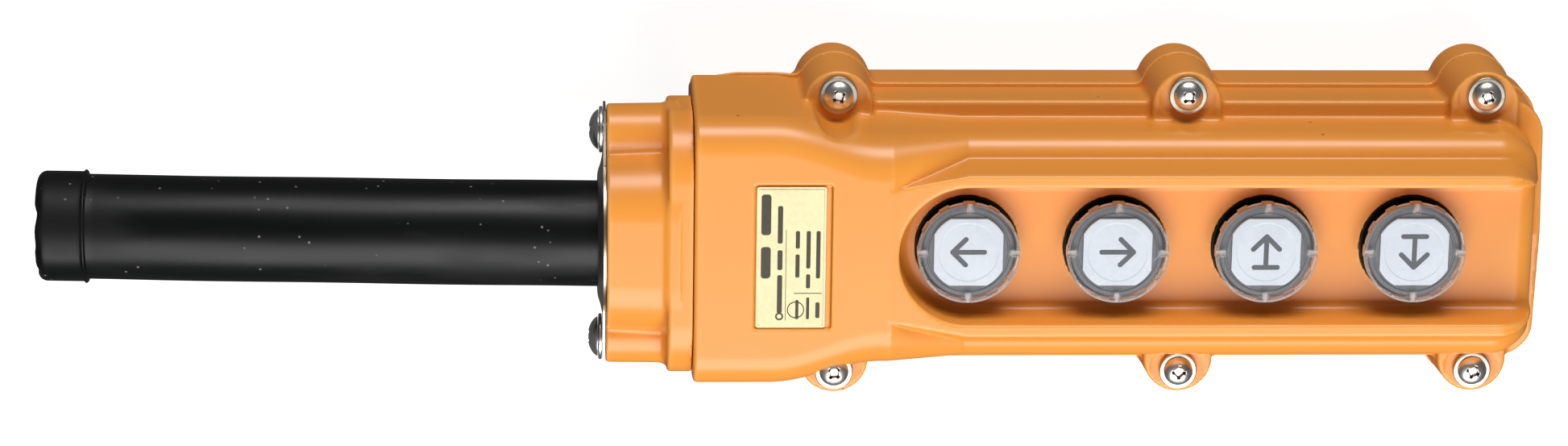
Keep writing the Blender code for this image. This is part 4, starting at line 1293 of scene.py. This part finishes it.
@dataclass
class Button:
    """One button: clear cap, legend plate with its mark, grey plunger and rubber seal."""

    number: int
    mark: Mark
    cap_radius: float = 12.0
    cap_wall: float = 0.75
    stem_radius: float = 6.3
    notch_width: float = 1.1
    notch_reach: float = 2.1
    teeth: int = 12
    stroke: float = 0.58
    mark_size: float = 4.4
    sides: int = 96
    x: float = field(init=False)
    top: float = field(init=False)
    skirt: float = field(init=False)

    def __post_init__(self) -> None:
        """Read the button's place from the frame."""
        low, high = span(f"button_cap_{self.number}")
        self.x, self.top, self.skirt = (low.x + high.x) / 2, high.z, low.z

    @property
    def body(self) -> str:
        """The body that moves with this button."""
        return f"button_{self.number}"

    def cap_distance(self, x: Array, y: Array, z: Array) -> Array:
        """The cap: a cup with a rolled rim, four slots in its top and notches round its skirt."""
        u, v, w = x - self.x, y, z - self.top
        away = np.hypot(u, v)
        shape = round_and(away - self.cap_radius, w, 0.7)
        shape = round_and(shape, self.skirt - z, 0.15)
        shape = cut(shape, round_and(away - self.cap_radius + self.cap_wall, w + 1.2, 0.3))
        for along, across in ((u, v), (v, u)):
            outer = self.cap_radius - self.notch_reach - np.abs(along)
            plan = round_and(np.abs(across) - self.notch_width / 2, outer, 0.2)
            shape = carve(shape, round_and(plan, -0.62 - w, 0.1), 0.1)
        angle = np.arctan2(v, u)
        pitch = 2 * np.pi / self.teeth
        local = (np.mod(angle, pitch) - pitch / 2) * self.cap_radius
        gap = np.maximum(np.abs(local) - 1.7, self.cap_radius - 0.5 - away)
        return carve(shape, np.maximum(gap, z - self.skirt - 1.3), 0.1)

    def cap(self) -> bpy.types.Object:
        """Mesh and dress the cap."""
        reach = self.cap_radius + 0.2
        low, high = (self.x - reach, -reach, self.skirt), (self.x + reach, reach, self.top)
        mesh = field_mesh(f"button_cap_lens_{self.number}", self.cap_distance, low, high, 0.2, 60_000)
        points = mesh_points(mesh)
        away = np.hypot(points[:, 0] - self.x, points[:, 1])
        rim = ease((away - self.cap_radius + self.cap_wall) / 0.4)
        slots = ease((away - self.cap_radius + self.notch_reach + 0.3) / 0.3)
        near = np.minimum(np.abs(points[:, 0] - self.x), np.abs(points[:, 1])) < self.notch_width / 2 + 0.12
        below = points[:, 2] < self.top - 0.05
        # painted glint: the rim and the walls of the notch slots are marked for the clear finish to whiten
        glow = np.maximum(rim * np.where(points[:, 2] < self.top - 0.8, 0.6, 0.3), slots * near * below)
        mesh.attributes.new("rim", "FLOAT", "POINT").data.foreach_set("value", glow.astype(np.float32))
        return dress(mesh, Finish.CLEAR, self.body, "clear_plastic", f"button_cap_{self.number}")

    def legend(self) -> bpy.types.Object:
        """The white plate with its printed mark."""
        low, high = span(f"legend_plate_{self.number}")
        half = (high.x - low.x) / 2

        def plate(x: Array, y: Array, z: Array) -> Array:
            """A square clipped by a circle, with a faint raised ring."""
            away = np.hypot(x - self.x, y)
            outline = np.maximum(np.maximum(np.abs(x - self.x), np.abs(y)) - half, away - 9.2)
            top = high.z - 0.1 + 0.1 * ease((away - 6.9) / 0.25) * ease((9.3 - away) / 0.4)
            return round_and(outline, np.maximum(z - top, low.z - z), 0.08)

        mesh = field_mesh(f"legend_plate_face_{self.number}", plate, low, high, 0.11, 20_000)
        dress(mesh, Finish.WHITE, self.body, "white_plate", f"legend_plate_{self.number}")
        strokes = [
            tuple((p[0] * self.mark_size + self.x, p[1] * self.mark_size) for p in line)
            for line in self.mark.strokes()
        ]

        def print_shape(x: Array, y: Array, z: Array) -> Array:
            """The mark's strokes, standing just proud of the plate."""
            drawn = np.minimum.reduce([capsule(x, y, a, b, self.stroke) for a, b in strokes])
            return np.maximum(drawn, np.maximum(z - high.z + 0.04, high.z - 0.26 - z))

        reach = self.mark_size + 1.0
        low, high_corner = (self.x - reach, -reach, high.z - 0.3), (self.x + reach, reach, high.z)
        mesh = field_mesh(f"legend_mark_{self.number}", print_shape, low, high_corner, 0.08, 12_000)
        return dress(mesh, Finish.INK, self.body, "white_plate")

    def plunger(self) -> bpy.types.Object:
        """The grey plunger under the legend."""
        low, high = span(f"button_plunger_{self.number}")
        disc, under, groove = (high.x - low.x) / 2, self.skirt - 1.8, high.z - 0.25
        profile = [(0.01, low.z, 0.0), (self.stem_radius, low.z, 0.6), (self.stem_radius, under, 0.5)]
        profile += [(disc, under, 0.4), (disc, high.z, 0.5), (9.9, high.z, 0.0), (9.7, groove, 0.0)]
        profile += [(9.4, groove, 0.0), (9.2, high.z, 0.0), (0.01, high.z, 0.0)]
        node = f"button_plunger_{self.number}"
        mesh = turned_mesh(f"{node}_form", profile, False, (self.x, 0.0, 0.0), self.sides)
        return dress(mesh, Finish.GREY, self.body, "grey_plastic", node)

    def seal(self) -> bpy.types.Object:
        """The rubber collar round the button."""
        low, high = span(f"button_seal_{self.number}")
        outer, wall = 12.1, 11.4
        under = low.z + 2.4
        flange = (high.x - low.x) / 2
        top = FrontCover.floor - 0.3
        profile = [(outer, top, 0.2), (outer, under, 0.2), (flange, under, 0.3), (flange, low.z, 0.3)]
        profile += [(6.6, low.z, 0.2), (6.6, low.z + 1.0, 0.2), (wall, low.z + 1.0, 0.3), (wall, top, 0.2)]
        node = f"button_seal_{self.number}"
        mesh = turned_mesh(f"{node}_form", profile, True, (self.x, 0.0, 0.0), self.sides)
        return dress(mesh, Finish.SEAL, CASE, "black_rubber", node)

    def build(self) -> None:
        """Build every visible piece of the button."""
        self.cap()
        self.legend()
        self.plunger()
        self.seal()


@dataclass
class Nameplate:
    """The cream rating plate, with ruled bars and boxes in place of any wording."""

    ink: float = 0.05

    def bars(self) -> list[tuple[float, float, float, float]]:
        """The printed bars: middle along x and y, then half sizes, in shares of a 16 by 34 plate."""
        rows: list[tuple[float, float, float, float]] = []
        for start, end, x, half in ((-15.2, -5.4, -5.9, 1.15), (-2.6, 5.0, -5.9, 1.15)):
            rows.append((x, (start + end) / 2, half, (end - start) / 2))
        for x, half, runs in (
            (-2.6, 0.6, ((-12.4, -3.4), (-1.8, 3.0), (4.2, 13.4))),
            (1.5, 0.5, ((-6.4, -2.2), (-0.8, 4.8))),
            (4.0, 0.5, ((-6.4, 2.6), (4.0, 7.4))),
            (6.3, 0.5, ((-6.4, 5.0), (10.8, 14.6))),
            (1.5, 0.36, ((10.2, 14.9),)),
            (4.0, 0.36, ((9.6, 14.9),)),
        ):
            rows += [(x, (a + b) / 2, half, (b - a) / 2) for a, b in runs]
        rows += [(4.0, 8.6, 3.3, 0.09), (-1.2, 4.2, 0.09, 11.0)]
        return rows

    def build(self) -> None:
        """Mesh and dress the plate and its print."""
        low, high = span("nameplate")
        middle, half = (low.x + high.x) / 2, (high.x - low.x) / 2

        def plate(x: Array, y: Array, z: Array) -> Array:
            """The foil."""
            outline = rounded_plate(x - middle, y, half, high.y, 0.6)
            return round_and(outline, np.maximum(z - high.z, low.z - z), 0.08)

        mesh = field_mesh("nameplate_foil", plate, low, high, 0.2, 30_000)
        dress(mesh, Finish.LABEL, CASE, "label_foil", "nameplate")
        bars = self.bars()

        def print_shape(x: Array, y: Array, z: Array) -> Array:
            """Every bar and ring, standing just proud of the foil."""
            parts = [rounded_plate(x - middle - a, y + b, c, d, min(c, d) * 0.7) for a, b, c, d in bars]
            parts.append(np.abs(np.hypot(x - middle - 1.2, y + 12.6) - 1.9) - 0.13)
            parts.append(np.abs(np.hypot(x - middle + 2.6, y + 14.2) - 0.75) - 0.2)
            parts.append(np.abs(rounded_plate(x - middle, y, half - 0.55, high.y - 0.55, 0.4)) - 0.05)
            drawn = np.minimum.reduce(parts)
            return np.maximum(drawn, np.maximum(z - high.z - self.ink, high.z - 0.2 - z))

        corner_low, corner_high = (low.x, low.y, high.z - 0.25), (high.x, high.y, high.z + 0.1)
        mesh = field_mesh("nameplate_print", print_shape, corner_low, corner_high, 0.12, 60_000)
        dress(mesh, Finish.LABEL_INK, CASE, "label_foil")


@dataclass
class Insides:
    """CAD nodes that keep their own mesh and get a better finish."""

    finishes: dict[str, Finish] = field(
        default_factory=lambda: {
            "cover_gasket": Finish.SEAL,
            "gland_gasket": Finish.SEAL,
            "return_spring": Finish.NICKEL,
            "contact_bridge": Finish.BRASS,
            "fixed_contact": Finish.BRASS,
            "contact_block": Finish.PHENOLIC,
            "block_screw": Finish.NICKEL,
        }
    )

    def build(self) -> None:
        """Dress every CAD node that still shows."""
        for name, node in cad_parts.items():
            if node.hide_render:
                continue
            finish = next(f for start, f in self.finishes.items() if name.startswith(start))
            node.data.materials.clear()
            node.data.materials.append(finish.material())
            LOG.info("%s keeps its CAD mesh in %s", name, finish.value.name)


@dataclass
class Studio:
    """A white floor, soft lamps and the camera."""

    floor_half: float = 6.0
    sky: float = 0.09
    focal: float = 109.24
    yaw: float = -3.231
    pitch: float = 15.418
    roll: float = 0.844
    distance: float = 1141.2
    target: tuple[float, float, float] = (-41.4, -2.06, 0.0)

    def floor(self) -> None:
        """A plain pale floor under the case."""
        half, z = self.floor_half, CAD_BOX[0][2] - 0.2 * MM
        mesh = bpy.data.meshes.new("studio_floor")
        corners = [(-half, -half, z), (half, -half, z), (half, half, z), (-half, half, z)]
        mesh.from_pydata(corners, [], [(0, 1, 2, 3)])
        graph = Graph("studio_floor")
        paper = graph.noise(graph.place(), 3.0)
        tint = graph.blend(paper, (0.34, 0.34, 0.34, 1.0), (0.37, 0.37, 0.37, 1.0))
        glow = (1.0, 1.0, 1.0, 1.0)
        shader = graph.principled(Base_Color=tint, Roughness=0.9, Emission_Color=glow, Emission_Strength=0.84)
        floor = add_object(mesh, graph.finish(shader))
        floor.visible_diffuse = floor.visible_glossy = False

    def lamp(self, name: str, azimuth: float, tilt: float, reach: float, size: Point, power: float) -> None:
        """An area lamp aimed at the case.

        Args:
            name: The lamp's name.
            azimuth: Its compass angle in degrees, from the +x axis.
            tilt: Its angle from straight overhead, in degrees.
            reach: Its distance in metres.
            size: Its width and height in metres.
            power: Its power in watts.
        """
        light = bpy.data.lights.new(name, "AREA")
        light.shape = "RECTANGLE"
        light.size, light.size_y = size
        light.energy = power
        obj = bpy.data.objects.new(name, light)
        a, t = math.radians(azimuth), math.radians(tilt)
        away = Vector((math.cos(a) * math.sin(t), math.sin(a) * math.sin(t), math.cos(t)))
        centre = ORIGIN + Vector((0.02, 0.0, 0.02))
        side = Vector((1.0, 0.0, 0.0))
        side = (side - away * side.dot(away)).normalized()
        up = away.cross(side)
        obj.matrix_world = Matrix((side, up, away)).transposed().to_4x4()
        obj.location = centre + away * reach
        bpy.context.scene.collection.objects.link(obj)

    def camera(self) -> None:
        """The camera, looking down on the front from a little to the cable's side."""
        yaw, pitch, roll = (math.radians(v) for v in (self.yaw, self.pitch, self.roll))
        back = Vector((math.sin(yaw) * math.cos(pitch), math.sin(pitch), math.cos(yaw) * math.cos(pitch)))
        level = Vector((0.0, 1.0, 0.0)).cross(back).normalized()
        upright = back.cross(level)
        right = level * math.cos(roll) + upright * math.sin(roll)
        up = upright * math.cos(roll) - level * math.sin(roll)
        data = bpy.data.cameras.new("camera")
        data.lens, data.sensor_width = self.focal, 36.0
        data.clip_end = 50.0
        obj = bpy.data.objects.new("camera", data)
        obj.matrix_world = Matrix((right, up, back)).transposed().to_4x4()
        obj.location = ORIGIN + (Vector(self.target) + back * self.distance) * MM
        bpy.context.scene.collection.objects.link(obj)
        bpy.context.scene.camera = obj

    def build(self) -> None:
        """Set up the whole studio."""
        world = bpy.data.worlds.new("studio")
        world.use_nodes = True
        sky = world.node_tree.nodes["Background"]
        sky.inputs["Color"].default_value = (1.0, 1.0, 1.0, 1.0)
        sky.inputs["Strength"].default_value = self.sky
        bpy.context.scene.world = world
        bpy.context.scene.view_settings.view_transform = "Standard"
        self.floor()
        self.lamp("upper_strip", 86.5, 71.6, 1.5, (0.95, 0.6), 17.0)
        self.lamp("lower_box", -90.0, 40.0, 1.5, (1.6, 1.3), 34.5)
        self.camera()


def main() -> None:
    """Build the station and its studio."""
    logging.basicConfig(level=logging.INFO, format="%(name)s: %(message)s")
    FrontCover().build()
    RearHousing().build()
    Gland().build()
    CoverFasteners().build()
    Boot().build()
    for number, mark in enumerate(Mark, 1):
        Button(number, mark).build()
    Nameplate().build()
    Insides().build()
    Studio().build()


if __name__ == "__main__":
    main()
